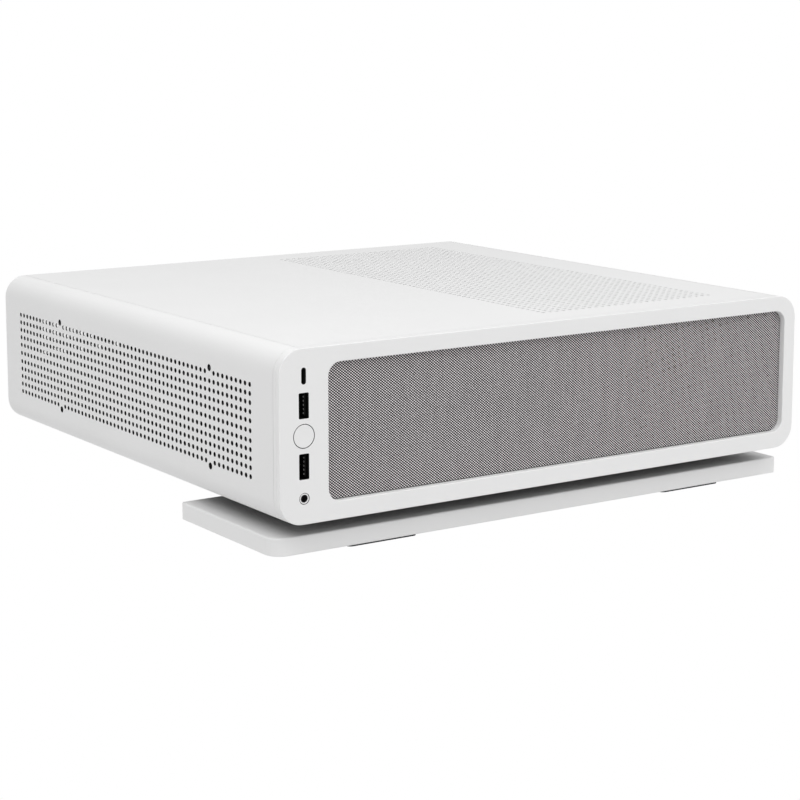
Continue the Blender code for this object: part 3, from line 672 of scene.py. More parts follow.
def wide_panel(level, toward, first, counts):
    """A flat panel between the side covers, with one block of holes and a folded rear lip."""
    xs = [TOP_LOW.x, *evenly(first[0], PITCH, counts[0]), TOP_HIGH.x]
    ys = [BEZEL_HIGH.y + SEAM, *evenly(first[1], PITCH, counts[1]), TOP_HIGH.y]
    grids = [[[Vector((x, y, z)) for y in ys] for x in xs] for z in (level, level + toward * COVER)]
    cells = product(range(1, counts[0]), range(1, counts[1]))
    holes = {(i, j, i + 1, j + 1): HOLE for i, j in cells}
    shape = Shape().perforated(*grids, holes, PAINT)
    lip_x = 165
    lip_z = sorted((level + toward * COVER, level + toward * 8))
    shape.box((-lip_x, REAR - 1.9, lip_z[0]), (lip_x, REAR - 0.7, lip_z[1]), PAINT, 0.2, 2)
    return shape


def covers():
    """The side covers, and the top and bottom panels with their vents."""
    side_cover("left_side_cover", -1)
    side_cover("right_side_cover", 1)
    top = wide_panel(TOP, -1, (8.5, -150.6), (28, 62))
    end_piece(top, "top_panel", weighted=False)
    under = wide_panel(BOTTOM, 1, (-151.5, -141.5), (21, 18))
    # the underside of the bottom panel gets the dark grey: painted shade for the gap above the base plate
    under.tint_where(lambda spot: spot.z < BOTTOM + 0.01, UNDERSIDE_PAINTED_SHADE)
    end_piece(under, "bottom_panel", weighted=False)


# ---------------------------------------------------------------- front

def window(low, high):
    """The mouth of a front socket, inside its walls."""
    wall = 0.5
    return (low.x + wall, low.z + wall, high.x - wall, high.z - wall)


def front_bezel(shape, low, high, at):
    """The moulded frame round the screen, with a fine groove round its outside."""
    depth = high.y - low.y
    start = 3.2
    end = start + 0.2
    cut = 0.12
    slope = 0.03
    outer = soft_edges(depth, 0.35, 0.08)
    groove = [(0.0, start), (cut, start + slope), (cut, end - slope), (0.0, end)]
    outer[4:4] = groove
    screen_low, screen_high = corners("fabric_screen")
    opening = (screen_low.x - GAP, screen_low.z - GAP, screen_high.x + GAP, screen_high.z + GAP)
    mouth = [(0.15, 0.0), (0.04, 0.04), (0.0, 0.15), (0.0, 1.0), (0.8, 1.0), (0.8, depth)]
    bore = soft_edges(depth, 0.03)
    loops = [rounded(LEFT, BOTTOM, RIGHT, TOP, EDGE_RADIUS, 12),
             rounded(*opening, 7.5),
             slotted(*window(*corners("usb_c_port"))),
             rounded(*window(*corners("usb_a_upper")), 0.6, 3),
             rounded(*window(*corners("usb_a_lower")), 0.6, 3),
             circle((PORT_X, middle("power_button").z), 6.72, 48),
             circle((PORT_X, middle("audio_jack").z), 3.2, 32)]
    rings = [outer, soft_edges(depth, 0.5, 0.2), mouth, mouth, mouth, bore, bore]
    shape.plate(loops, rings, "XZ", FRONT, PLASTIC)

    def inside_port(spot):
        near = abs(spot.x - PORT_X) < 9 and abs(spot.z - MIDDLE) < 40
        return near and 0.06 < spot.y - FRONT < depth - 0.01

    shape.tint_where(inside_port, BLACK)


def fabric_screen(shape, low, high, at):
    """The woven cloth, with its edge turned in over its carrier."""
    outline = rounded(low.x, low.z, high.x, high.z, 7.2)
    rings = soft_edges(high.y - low.y, 0.5)
    shape.plate([outline], rings, "XZ", low.y, MATERIALS["grey_weave"])


def front_shell(shape, low, high, loops, finish):
    """A socket's walls and its closed back; returns where the back starts."""
    back = high.y - 1.0
    shape.plate(loops, soft_edges(back - low.y), "XZ", low.y, finish)
    shape.box((low.x, back - 0.1, low.z), high, finish)
    return back


def usb_a(shape, low, high, at):
    """A socket's shell, with its tongue and five contacts."""
    x0, z0, x1, z1 = window(low, high)
    loops = [rounded(low.x, low.z, high.x, high.z, 0.6, 3), rounded(x0, z0, x1, z1, 0.4, 3)]
    back = front_shell(shape, low, high, loops, SOCKET_BLACK)
    tongue_x = x0 + (x1 - x0) * 0.70
    tongue_y = low.y + 0.6
    tongue = ((tongue_x, tongue_y, z0 + 1.0), (tongue_x + 1.1, back, z1 - 1.0))
    shape.box(*tongue, SOCKET_BLACK, 0.2, 2)
    for share in evenly(0.18, 0.16, 5):
        z = z0 + (z1 - z0) * share
        contact = ((tongue_x - 0.1, tongue_y + 0.2, z - 0.45), (tongue_x + 0.2, tongue_y + 1.2, z + 0.45))
        shape.box(*contact, CONTACT, 0.08, 2)


def usb_c_port(shape, low, high, at):
    """A socket's slotted shell and its thin tongue."""
    mouth = window(low, high)
    loops = [slotted(low.x, low.z, high.x, high.z), slotted(*mouth)]
    back = front_shell(shape, low, high, loops, BLACK)
    tongue = ((PORT_X - 0.35, low.y + 1.5, mouth[1] + 1.4), (PORT_X + 0.35, back, mouth[3] - 1.4))
    shape.box(*tongue, BLACK, 0.1, 2)


def audio_jack(shape, low, high, at):
    """A pale collar round the dark bore of the socket."""
    reach = high.y - low.y
    bore = 2.15
    outer = 2.88
    profile = [(0.0, 4.0), (bore - 0.1, 4.0), (bore - 0.1, 0.6), (bore, 0.3), (bore + 0.15, 0.05),
               (outer - 0.1, 0.05), (outer, 0.2), (outer, reach), (0.0, reach)]
    shape.turned(profile, (at.x, low.y, at.z), PLASTIC, "Y", 40)

    def dark(spot):
        return math.hypot(spot.x - at.x, spot.z - at.z) < bore + 0.03 or spot.y - low.y > 0.3

    shape.tint_where(dark, BLACK)


def power_button(shape, low, high, at):
    """A round key with a soft edge and a barely hollow face, on its stem."""
    reach = 6.3
    stem = 2.4
    length = high.y - low.y
    profile = [(0.0, 0.12), (3.0, 0.09), (reach - 1.1, 0.02), (reach - 0.2, 0.0),
               (reach - 0.04, 0.03), (reach, 0.1), (reach, 5.0), (stem, 5.0), (stem, length),
               (0.0, length)]
    shape.turned(profile, (at.x, low.y, at.z), PLASTIC, "Y", 48)
    shape.tint_where(lambda spot: spot.y - low.y > 0.11, BLACK)


def front():
    """The bezel and all that sits in it."""
    build_each(front_bezel)
    screen = build("fabric_screen", fabric_screen)
    build("usb_a_upper", usb_a)
    build("usb_a_lower", usb_a)
    build_each(usb_c_port, audio_jack, power_button)


# ---------------------------------------------------------------- base and rear wall

def disc(node, profile, finish, steps=48):
    """A round piece about its node's upright middle line."""
    at = middle(node)
    end_piece(Shape().turned(profile, (at.x, at.y, 0), finish, steps=steps), node)


def base_plate(shape, low, high, at):
    """The low plate with soft edges and one clearly round corner."""
    outline = round_corners(low.x, low.y, high.x, high.y, (9.5, 2.0, 2.0, 2.0), 12)
    rings = soft_edges(high.z - low.z, 0.9, 0.5, 4)
    shape.plate([outline], rings, "XY", high.z, PAINT, toward=-1)


def base_pad(shape, low, high, at):
    """A rubber pad that reaches up to the base plate and shows under its front edge."""
    outline = rounded(low.x, low.y - 0.9, high.x, high.y, 3.0)
    seat = high.z + GAP
    shape.plate([outline], soft_edges(seat - low.z, 0.0, 0.1), "XY", seat, RUBBER, toward=-1)


def base():
    """The base plate with its pads, and the round feet at the rear."""
    build_each(base_plate)
    for word in ("left", "right"):
        build(f"base_pad_{word}", base_pad)
        low, high = corners(f"rear_foot_{word}")
        profile = [(0.0, high.z), (15.4, high.z), (16.0, high.z - 0.6), (16.0, low.z + 3.0),
                   (15.6, low.z + 1.6), (14.0, low.z), (0.0, low.z)]
        disc(f"rear_foot_{word}", profile, PLASTIC)
        top = corners(f"rear_foot_pad_{word}")[1].z
        profile = [(0.0, top), (13.0, top), (13.0, 0.5), (12.8, 0.1), (12.3, 0.0), (0.0, 0.0)]
        disc(f"rear_foot_pad_{word}", profile, RUBBER)


def rear_panel(shape, low, high, at):
    """The rear wall, with upright slots over the motherboard's sockets and the card's bracket."""
    shield_low, shield_high = corners("io_shield")
    shield = (shield_low.x + 1, shield_low.z + 1.7, shield_high.x - 1, shield_high.z - 1)
    card_window = (14, LEVEL + 44, 124, LEVEL + 84.5)
    inlet_window = (150.5, LEVEL + 31.5, 177.5, LEVEL + 51.5)
    loops = [rounded(low.x, low.z, high.x, high.z, 10.5), rounded(*shield, 2),
             rounded(*card_window, 2), rectangle(*inlet_window)]
    slot_width = 5.0
    bar = 1.6
    slot_top = LEVEL + 106
    for first_x, count, lowest in ((-163, 22, 69.2), (14, 17, 90)):
        for x in evenly(first_x, slot_width + bar, count):
            loops.append(slotted(x, LEVEL + lowest, x + slot_width, slot_top))
    shape.plate(loops, soft_edges(high.y - low.y), "XZ", low.y, PAINT)
    for x, z in product((low.x + 7, high.x - 7), (low.z + 14, high.z - 14)):
        screw(shape, (x, high.y, z), (0, 1, 0), 3.2)


# ---------------------------------------------------------------- fans

def fan_frame(shape, low, high, at, bore, finish):
    """A frame of two flanges round a duct, with a motor seat on four leaning arms."""
    half = (high.x - low.x) / 2
    flange = 3.2
    hub = half * 0.32
    screw_at = half * 0.893
    centre = (at.x, at.y)
    duct = circle(centre, bore, 72)
    spots = [(at.x + i * screw_at, at.y + j * screw_at) for i, j in product((-1, 1), repeat=2)]
    holes = [circle(spot, 2.2, 16) for spot in spots]
    loops = [rounded(low.x, low.y, high.x, high.y, 5.0), duct, *holes]
    for level in (low.z, high.z - flange):
        shape.plate(loops, soft_edges(flange, 0.35, 0.35), "XY", level, finish)
    wall = soft_edges(high.z - low.z - flange)
    tubes = [(circle(centre, min(bore + 2.2, half - 0.3), 72), duct)]
    tubes += [(circle(spot, 3.6, 16), hole) for spot, hole in zip(spots, holes)]
    for tube in tubes:
        shape.plate(tube, wall, "XY", low.z + flange / 2, finish)
    seat = [(0.0, 0.0), (hub - 0.6, 0.0), (hub, 0.6), (hub, 3.0), (0.0, 3.0)]
    shape.turned(seat, (at.x, at.y, low.z), finish, steps=48)
    for number in range(4):
        edges = [[], []]
        for step in range(9):
            along = step / 8
            radius = hub - 1 + (bore - hub + 1.6) * along
            angle = math.radians(45 + 90 * number + 22 * along)
            for edge, lean in zip(edges, (-1, 1)):
                turned = angle + lean * (1.7 - 0.4 * along) / radius
                edge.append((at.x + radius * math.cos(turned), at.y + radius * math.sin(turned)))
        arm = edges[0] + edges[1][::-1]
        shape.plate([arm], soft_edges(2.5, 0.3, 0.3), "XY", low.z + 0.2, finish)


def rotor(node, joint, hub, tip, height, blades, turn, finish):
    """A hub with swept blades, which lean less towards their tips."""
    at = pivot(joint)
    half = height / 2
    profile = [(0.0, half), (hub - 2.4, half), (hub - 1.0, half - 0.4), (hub - 0.3, half - 1.1),
               (hub, half - 2.2), (hub, -half), (0.0, -half)]
    shape = Shape().turned(profile, at, finish, steps=56)
    wrap = 2 * math.pi / blades * 0.86
    sweep_back = 0.35
    spans = 9
    chords = 7

    def surface(number, along, across, side):
        radius = hub - 1.0 + (tip - hub + 1.0) * along
        lean = turn * (across * wrap / 2 + sweep_back * along**2)
        angle = 2 * math.pi * number / blades + lean
        lift = -across * half * 0.88 * (1 - 0.22 * along) + 0.1 * half * (across**2 - 0.5)
        thick = side * (0.25 + 0.55 * (1 - across**2))
        return at + Vector((radius * math.cos(angle), radius * math.sin(angle), lift + thick))

    for number in range(blades):
        skins = [[[surface(number, i / spans, 2 * j / chords - 1, side) for j in range(chords + 1)]
                  for i in range(spans + 1)] for side in (1, -1)]
        shape.perforated(*skins, {}, finish)
    end_piece(shape, node)


def fans():
    """The case fans, the graphics card's rotors, and the processor's and supply's fans."""
    for word in ("front", "rear"):
        build(f"case_fan_{word}_frame", fan_frame, 66.5, PLASTIC)
        rotor(f"case_fan_{word}_rotor", f"case_fan_{word}_spin", 22.4, 64.9, 20.0, 7, 1, PLASTIC)
        turn = {"front": -1, "rear": 1}[word]
        rotor(f"card_fan_{word}_rotor", f"card_fan_{word}_spin", 15.0, 44.5, 10.0, 9, turn, BLACK)
    for word in ("processor", "psu"):
        build(f"{word}_fan_frame", fan_frame, 43.0, BLACK)
        rotor(f"{word}_fan_rotor", f"{word}_fan_spin", 14.7, 41.4, 10.0, 7, 1, BLACK)


# ---------------------------------------------------------------- motherboard

CHIP_SIZES = ((5.0, 5.0), (4.0, 6.0), (7.0, 7.0))
SMALL_SIZES = ((1.6, 0.8), (0.8, 1.6), (2.4, 1.2))


def grooved(shape, low, high, along, gap, finish):
    """A block of cooling ribs on a base; they run along X or Y."""
    low, high = Vector(low), Vector(high)
    base = low.z + (high.z - low.z) * 0.3
    shape.box(low, (high.x, high.y, base), finish, 0.2)
    across = "XY".index(along) ^ 1
    count = int((high[across] - low[across] + gap) / (2 * gap))
    for number in range(count):
        start = low.copy()
        end = high.copy()
        start.z = base - 0.1
        start[across] = low[across] + 2 * gap * number
        end[across] = start[across] + gap
        shape.box(start, end, finish)


def scattered(shape, area, level, count, seed, toward=1):
    """Small parts on a free area of a board: chips, and resistors and capacitors with bright ends."""
    pick = random.Random(seed)
    x0, y0, x1, y1 = area
    taken = []
    for _ in range(count):
        chip = pick.random() < 0.18
        width, depth = pick.choice(CHIP_SIZES if chip else SMALL_SIZES)
        x = round(pick.uniform(x0, x1 - width), 1)
        y = round(pick.uniform(y0, y1 - depth), 1)
        spot = (x - 0.5, y - 0.5, x + width + 0.5, y + depth + 0.5)
        if any(spot[0] < o[2] and o[0] < spot[2] and spot[1] < o[3] and o[1] < spot[3] for o in taken):
            continue
        taken.append(spot)
        z0, z1 = sorted((level - toward * 0.02, level + toward * (1.1 if chip else 0.6)))
        if chip:
            shape.box((x, y, z0), (x + width, y + depth, z1), BLACK, 0.1)
            continue
        shape.box((x, y, z0), (x + width, y + depth, z1), ALUMINIUM)
        bright = 0.25 * max(width, depth)
        cut_x, cut_y = (bright, -0.03) if width > depth else (-0.03, bright)
        ceramic = ((x + cut_x, y + cut_y, z0 - 0.02), (x + width - cut_x, y + depth - cut_y, z1 + 0.02))
        shape.box(*ceramic, TAN)


def capacitor(shape, x, y, level, radius=2.6, height=7.0):
    """A can with a groove rolled in above its foot."""
    profile = [(0.0, 0.0), (radius, 0.0), (radius, 0.9), (radius - 0.15, 1.1), (radius, 1.5),
               (radius, height - 0.4), (radius - 0.4, height), (0.0, height - 0.1)]
    shape.turned(profile, (x, y, level), ALUMINIUM, steps=20)


def socket_block(shape, low, high, columns, rows, finish):
    """An upright socket with a grid of square pits in its top."""
    low, high = Vector(low), Vector(high)
    pitch_x = (high.x - low.x) / columns
    pitch_y = (high.y - low.y) / rows
    pit = 0.31 * min(pitch_x, pitch_y)
    loops = [rectangle(low.x, low.y, high.x, high.y)]
    for i, j in product(range(columns), range(rows)):
        x = low.x + (i + 0.5) * pitch_x
        y = low.y + (j + 0.5) * pitch_y
        loops.append(rectangle(x - pit, y - pit, x + pit, y + pit))
    shape.plate(loops, soft_edges(high.z - low.z - 1.0), "XY", high.z, finish, toward=-1)
    shape.box(low, (high.x, high.y, low.z + 1.1), finish)


def motherboard(shape, low, high, at):
    """The board with its slots, sockets, coolers, chokes, cans and small parts."""
    x0, y0, x1, y1 = low.x, low.y, high.x, high.y
    thick = 1.6
    top = low.z + thick
    cpu = middle("processor_heat_sink")
    loops = [rounded(x0, y0, x1, y1, 1.5, 3)]
    loops += [circle(spot, 1.6, 16) for spot in product((x0 + 6, x1 - 6), (y0 + 26, y1 - 6))]
    shape.plate(loops, soft_edges(thick), "XY", top, BOARD, toward=-1)

    def block(at, size, heights, finish, soft=0.3):
        """A block on the board; a negative place counts from the far edge."""
        x = at[0] + (x0 if at[0] >= 0 else x1)
        y = at[1] + (y0 if at[1] >= 0 else y1)
        far = (x + size[0], y + size[1], top + heights[1])
        shape.box((x, y, top + heights[0]), far, finish, soft)

    for y in (7.5, 14.5):
        block((18, y - 3), (134, 6), (-0.1, 6.6), BLACK)
        for x in (18, 147):
            block((x, y - 2.4), (5, 4.8), (5, 7), GREY, 0.4)
    block((-11.5, 40), (7, 90), (0, 11), BLACK)
    block((-10.8, 130), (5.6, 2), (0, 8), GREY, 0.4)
    socket_block(shape, (x0 + 3, y0 + 20, top - 0.1), (x0 + 13, y0 + 72, top + 13), 2, 12, BLACK)
    block((12.8, 43), (1.6, 6), (2, 11), BLACK)
    socket_block(shape, (x0 + 3, y1 - 18, top - 0.1), (x0 + 21, y1 - 9, top + 12), 4, 2, BLACK)
    grooved(shape, (x0 + 8, y1 - 62, top - 0.1), (x0 + 24, y1 - 24, top + 24), "X", 1.2, GREY)
    grooved(shape, (x1 - 40, y0 + 30, top - 0.1), (x1 - 18, y0 + 62, top + 9), "Y", 1.1, GREY)

    for reach, heights, finish, soft, steps in ((22, (-0.1, 2.6), BLACK, 0.4, 1),
                                                (16, (2.5, 4.0), STEEL, 0.5, 2)):
        near = (cpu.x - reach, cpu.y - reach, top + heights[0])
        far = (cpu.x + reach, cpu.y + reach, top + heights[1])
        shape.box(near, far, finish, soft, steps)
    shape.row((x0 + 26, y1 - 64, top), (6.4, 6.4, 3.8), (0, 8.2, 0), 6, GREY, 0.5)
    for x in evenly(x0 + 46, 9, 6):
        capacitor(shape, x, y0 + 25, top)
    for y in evenly(y1 - 30, 8, 3):
        capacitor(shape, x0 + 148, y, top, 2.2, 6.0)
    shape.row((x0 + 20, y0 + 21.5, top), (3.2, 9, 6), (4.6, 0, 0), 4, BLACK, 0.3)
    shape.row((x1 - 38, y0 + 20.6, top), (8, 7, 8.5), (12.5, 0, 0), 2, BLACK, 0.3)
    for x in evenly(104, 2.54, 9):
        block((x, 21), (2.4, 5), (0, 2.4), BLACK, 0.15)
        for y in (22.2, 24.8):
            block((x + 0.9, y - 0.3), (0.6, 0.6), (2, 8), GOLD, 0)
    battery = [(0.0, 0.0), (10.0, 0.0), (10.0, 2.6), (9.4, 3.2), (0.0, 3.2)]
    shape.turned(battery, (x1 - 29, y0 + 78, top), STEEL, steps=48)
    shape.row((x0 + 40, y1 - 30.5, top), (7, 7, 1.2), (22, 0, 0), 3, BLACK, 0.15)
    scattered(shape, (x0 + 26, y0 + 30, x0 + 126, y0 + 44), top, 90, 3)
    scattered(shape, (x0 + 127, y0 + 90, x1 - 15, y1 - 34), top, 90, 5)
    scattered(shape, (x0 + 28, y1 - 33, x0 + 144, y1 - 22), top, 80, 8)
    scattered(shape, (x0 + 4, y0 + 76, x0 + 24, y0 + 104), top, 40, 13)
    screw(shape, (x1 - 8, y1 - 12, top), (0, 0, 1), 2.6)


def memory_module(shape, low, high, at):
    """A board with chips on both faces and gilt contacts along its lower edge."""
    chips = 8
    pitch = 0.85
    shape.box((low.x, at.y - 0.55, low.z), (high.x, at.y + 0.55, high.z), BOARD)
    width = (high.x - low.x - 14) / chips
    for chip in range(chips):
        x = low.x + 4 + chip * width + (6 if chip >= chips / 2 else 0)
        for y in (at.y - 1.2, at.y + 0.5):
            shape.box((x, y, low.z + 12), (x + width - 3.5, y + 0.7, high.z - 4), BLACK, 0.12)
    for x in evenly(low.x + 3, pitch, int((high.x - low.x - 6) / pitch)):
        if abs(x - at.x - 4) > 2:
            shape.box((x, at.y - 0.6, low.z + 0.2), (x + 0.55, at.y + 0.6, low.z + 3.6), GOLD)


def fins(shape, low, high, bottom, pitch):
    """Thin upright fins side by side along X, centred between two corners."""
    count = int((high.x - low.x) / pitch)
    first = (low.x + high.x - (count - 1) * pitch) / 2
    for x in evenly(first, pitch, count):
        shape.box((x - 0.25, low.y, bottom), (x + 0.25, high.y, high.z), ALUMINIUM)


def processor_heat_sink(shape, low, high, at):
    """Thin fins on a plate, with four heat pipes through them and a foot on the processor."""
    foot = 19
    shape.box((at.x - foot, at.y - foot, low.z), (at.x + foot, at.y + foot, low.z + 4), ALUMINIUM, 0.3)
    shape.box((low.x, low.y, low.z + 3), (high.x, high.y, low.z + 5.2), ALUMINIUM, 0.3)
    fins(shape, low, high, low.z + 5, 2.0)
    start = low.x + 1
    end = high.x - 1
    pipe = [(0.0, start), (2.4, start), (3.0, start + 0.6), (3.0, end - 0.6), (2.4, end), (0.0, end)]
    for y in evenly(at.y - 27, 18, 4):
        shape.turned(pipe, (0, y, low.z + 13), STEEL, "X", 24)


def tube(shape, low, high, wall, depth, finish):
    """The walls of a socket whose mouth opens at the rear."""
    outside = rounded(low.x, low.z, high.x, high.z, 0.5, 3)
    mouth = rounded(low.x + wall, low.z + wall, high.x - wall, high.z - wall, 0.4, 3)
    shape.plate([outside, mouth], soft_edges(depth), "XZ", high.y, finish, toward=-1)


def open_shell(shape, low, high, wall, depth, finish):
    """A socket body whose mouth opens at the rear, dark inside."""
    tube(shape, low, high, wall, depth, finish)
    floor = high.y - depth
    shape.box(low, (high.x, floor + 0.05, high.z), finish, 0.2)
    dark = ((low.x + 0.2, floor - 0.2, low.z + 0.2), (high.x - 0.2, floor + 0.3, high.z - 0.2))
    shape.box(*dark, BLACK)


def io_shield(shape, low, high, at):
    """The plate round the board's sockets, with four round jacks and a row of vent slots."""
    loops = [rounded(low.x, low.z, high.x, high.z, 2)]
    for node in ("network_socket", "usb_stack", "display_sockets"):
        start, end = corners(node)
        loops.append(rectangle(start.x - GAP, start.z - GAP, end.x + GAP, end.z + GAP))
    level = corners("network_socket")[0].z
    jacks = list(product((-40, -28), (level + 9.1, level + 20.1)))
    loops += [circle(spot, 3.0, 32) for spot in jacks]
    for x in evenly(low.x + 7, 6.6, 22):
        loops.append(slotted(x, high.z - 6.5, x + 5, high.z - 2.8, 4))
    shape.plate(loops, soft_edges(high.y - low.y), "XZ", low.y, STEEL)
    rim = [(0.0, -6.0), (1.8, -6.0), (1.8, -0.4), (2.0, -0.2), (2.7, -0.2), (2.8, -0.5),
           (2.8, -8.0), (0.0, -8.0)]
    for x, z in jacks:
        shape.turned(rim, (x, high.y + 0.6, z), BLACK, "Y", 28)


def network_socket(shape, low, high, at):
    """A network socket with eight contacts and two lamps."""
    open_shell(shape, low, high, 1.0, 9.0, STEEL)
    shape.row((low.x + 4.2, high.y - 8.5, high.z - 3.4), (0.4, 6.0, 0.5), (1.02, 0, 0), 8, GOLD)
    for x in (low.x + 2.6, high.x - 2.6):
        lamp = ((x - 1.3, high.y - 1.4, high.z - 2.2), (x + 1.3, high.y - 0.1, high.z - 0.9))
        shape.box(*lamp, GREY, 0.1)


def usb_stack(shape, low, high, at):
    """Two USB sockets, one over the other."""
    open_shell(shape, low, high, 1.0, 11.0, STEEL)
    for z in (low.z + 7.5, high.z - 7.5):
        tongue = ((at.x - 5.4, high.y - 10.5, z - 0.9), (at.x + 5.4, high.y - 1.4, z + 0.9))
        shape.box(*tongue, BLACK, 0.2)
        shape.row((at.x - 3.6, high.y - 10, z - 1.0), (1.1, 8, 0.2), (2.0, 0, 0), 4, GOLD)
    shelf = ((low.x + 0.8, high.y - 11, at.z - 1.6), (high.x - 0.8, high.y - 0.4, at.z + 1.6))
    shape.box(*shelf, STEEL, 0.2)


def display_sockets(shape, low, high, at):
    """Two display sockets, one over the other."""
    open_shell(shape, low, high, 1.0, 9.0, STEEL)
    shelf = ((low.x + 0.8, high.y - 9, at.z - 1.5), (high.x - 0.8, high.y - 0.4, at.z + 1.5))
    shape.box(*shelf, STEEL, 0.2)
    for z in ((low.z + at.z) / 2 - 0.4, (high.z + at.z) / 2 + 0.4):
        tongue = ((at.x - 5.2, high.y - 8.6, z - 0.7), (at.x + 5.2, high.y - 1.6, z + 0.7))
        shape.box(*tongue, BLACK, 0.2)


# ---------------------------------------------------------------- power supply

def wire_ring(shape, radius, wire, centre):
    """A ring of round wire about an upright axis."""
    rings = []
    for u, v in circle((0, 0), wire, 8):
        spots = circle((centre[0], centre[1]), radius + u, 56)
        rings.append([shape.mesh.verts.new((x, y, centre[2] + v)) for x, y in spots])
    shape.paint(shape.strip(rings + rings[:1]), STEEL)


def psu_case(shape, low, high, at):
    """A sheet-metal case with a wire grille under its fan and a vent in its lid."""
    bore = 43.0
    sheet = soft_edges(1.0)
    soft_sheet = soft_edges(1.0, 0.3)
    outline = rounded(low.x, low.y, high.x, high.y, 1.0, 3)
    under = [outline, circle((at.x, at.y), bore, 64)]
    shape.plate(under, soft_sheet, "XY", low.z, BLACK_METAL)
    lid = [outline]
    for y, x in product(evenly(high.y - 12, -7, 4), evenly(at.x - 44, 8, 12)):
        lid.append(arc((x, y), 2.6, 30, 330, 5))
    shape.plate(lid, soft_sheet, "XY", high.z, BLACK_METAL, toward=-1)
    side = rectangle(low.y, low.z + 0.5, high.y, high.z - 0.5)
    for x, toward in ((low.x, 1), (high.x, -1)):
        shape.plate([side], sheet, "YZ", x, BLACK_METAL, toward=toward)
    rocker_low, rocker_high = corners("psu_rocker")
    hole = (rocker_low.x - 1, rocker_low.z - 1.2, rocker_high.x + 1, rocker_high.z + 1.2)
    end = rectangle(low.x, low.z + 0.5, high.x, high.z - 0.5)
    shape.plate([end, rounded(*hole, 0.8, 3)], sheet, "XZ", low.y, BLACK_METAL)
    shape.plate([end], sheet, "XZ", high.y, BLACK_METAL, toward=-1)
    for radius in evenly(6.0, 6.0, 7):
        wire_ring(shape, radius, 0.6, (at.x, at.y, low.z + 0.4))
    spoke = Vector((at.x, at.y, low.z + 0.6))
    half = Vector((bore, 0.7, 0.5))
    for angle in evenly(22.5, 45, 4):
        turn = Matrix.Rotation(math.radians(angle), 4, "Z")
        shape.box(spoke - half, spoke + half, STEEL, turn=turn)
    for x, y in product((low.x + 5, high.x - 5), (low.y + 5, high.y - 5)):
        screw(shape, (x, y, high.z), (0, 0, 1), 2.8)


def psu_rocker(shape, low, high, at):
    """The switch's key, tilted to one side, with a pale dot at each end of its face."""
    tilt = Matrix.Rotation(math.radians(6), 4, "X")
    half = Vector((6.0, 3.5, 9.0))
    shape.box(at - half, at + half, BLACK, 0.8, 3, tilt)
    dot = [(0.0, -0.05), (0.9, -0.05), (0.9, 0.3), (0.0, 0.3)]
    for z in (-5.0, 5.0):
        spot = at + tilt.to_3x3() @ Vector((0.0, -half.y, z))
        shape.turned(dot, spot, PLASTIC, "Y", 16)


def mains_plug(shape, low, high, at):
    """The ribbed plug on the inner mains cable."""
    shape.box(low, high, BLACK, 1.6, 3)
    rib = (high.x - low.x + 0.4, 0.9, high.z - low.z - 6)
    shape.row((low.x - 0.4, low.y + 2.2, low.z + 3), rib, (0, 2, 0), 5, BLACK, 0.2)


def mains_inlet(shape, low, high, at):
    """The inlet in the rear wall, with its three pins."""
    open_shell(shape, low, high, 1.2, 14.0, BLACK)
    for x, z in ((at.x - 7, at.z - 2.0), (at.x, at.z + 2.6), (at.x + 7, at.z - 2.0)):
        pin = ((x - 1, high.y - 13.5, z - 2.4), (x + 1, high.y - 3.5, z + 2.4))
        shape.box(*pin, STEEL, 0.3)


# ---------------------------------------------------------------- graphics card

def card_shroud(shape, low, high, at):
    """The shroud with two lipped fan openings, each with a hub seat on three spokes."""
    centres = [pivot(f"card_fan_{word}_spin") for word in ("front", "rear")]
    bore = 46.0
    thick = high.z - low.z
    loops = [rounded(low.x, low.y, high.x, high.y, 6.0, 6)]
    loops += [circle((at.x, at.y), bore, 72) for at in centres]
    lip = soft_edges(thick, 1.4, 0.2, 4)
    rings = [soft_edges(thick, 2.2, 0.3, 4), lip, lip]
    shape.plate(loops, rings, "XY", high.z, GREY, toward=-1)
    seat = [(0.0, 0.0), (15.0, 0.0), (15.0, 1.4), (0.0, 1.4)]
    half = Vector(((bore - 13) / 2, 2.2, 0.7))
    for at in centres:
        shape.turned(seat, (at.x, at.y, low.z + 0.1), GREY, steps=40)
        for angle in evenly(90, 120, 3):
            turn = Matrix.Rotation(math.radians(angle), 4, "Z")
            spoke = at + turn.to_3x3() @ Vector(((bore + 14) / 2, 0, 0))
            spoke.z = low.z + 0.9
            shape.box(spoke - half, spoke + half, GREY, 0.2, turn=turn)
    middle_y = (centres[0].y + centres[1].y) / 2
    for y in evenly(middle_y - 8, 4, 5):
        for x0, x1 in ((low.x + 6, low.x + 22), (high.x - 22, high.x - 6)):
            shape.box((x0, y - 0.7, high.z - 0.4), (x1, y + 0.7, high.z + 0.5), GREY, 0.3)
    for x, y in product((low.x + 8, high.x - 8), (low.y + 8, high.y - 8)):
        screw(shape, (x, y, high.z), (0, 0, 1), 2.2)


def card_heat_sink(shape, low, high, at):
    """Fins on a thin plate, with four heat pipes along the card."""
    shape.box(low, (high.x, high.y, low.z + 2.4), ALUMINIUM, 0.2)
    fins(shape, low, high, low.z + 2.2, 2.2)
    start = low.y - 1.5
    pipe = [(0.0, start), (2.6, start), (3.2, start + 0.9), (3.2, high.y - 1), (0.0, high.y)]
    for x in (low.x + 18, low.x + 36, high.x - 36, high.x - 18):
        shape.turned(pipe, (x, 0, low.z + 8), STEEL, "Y", 20)


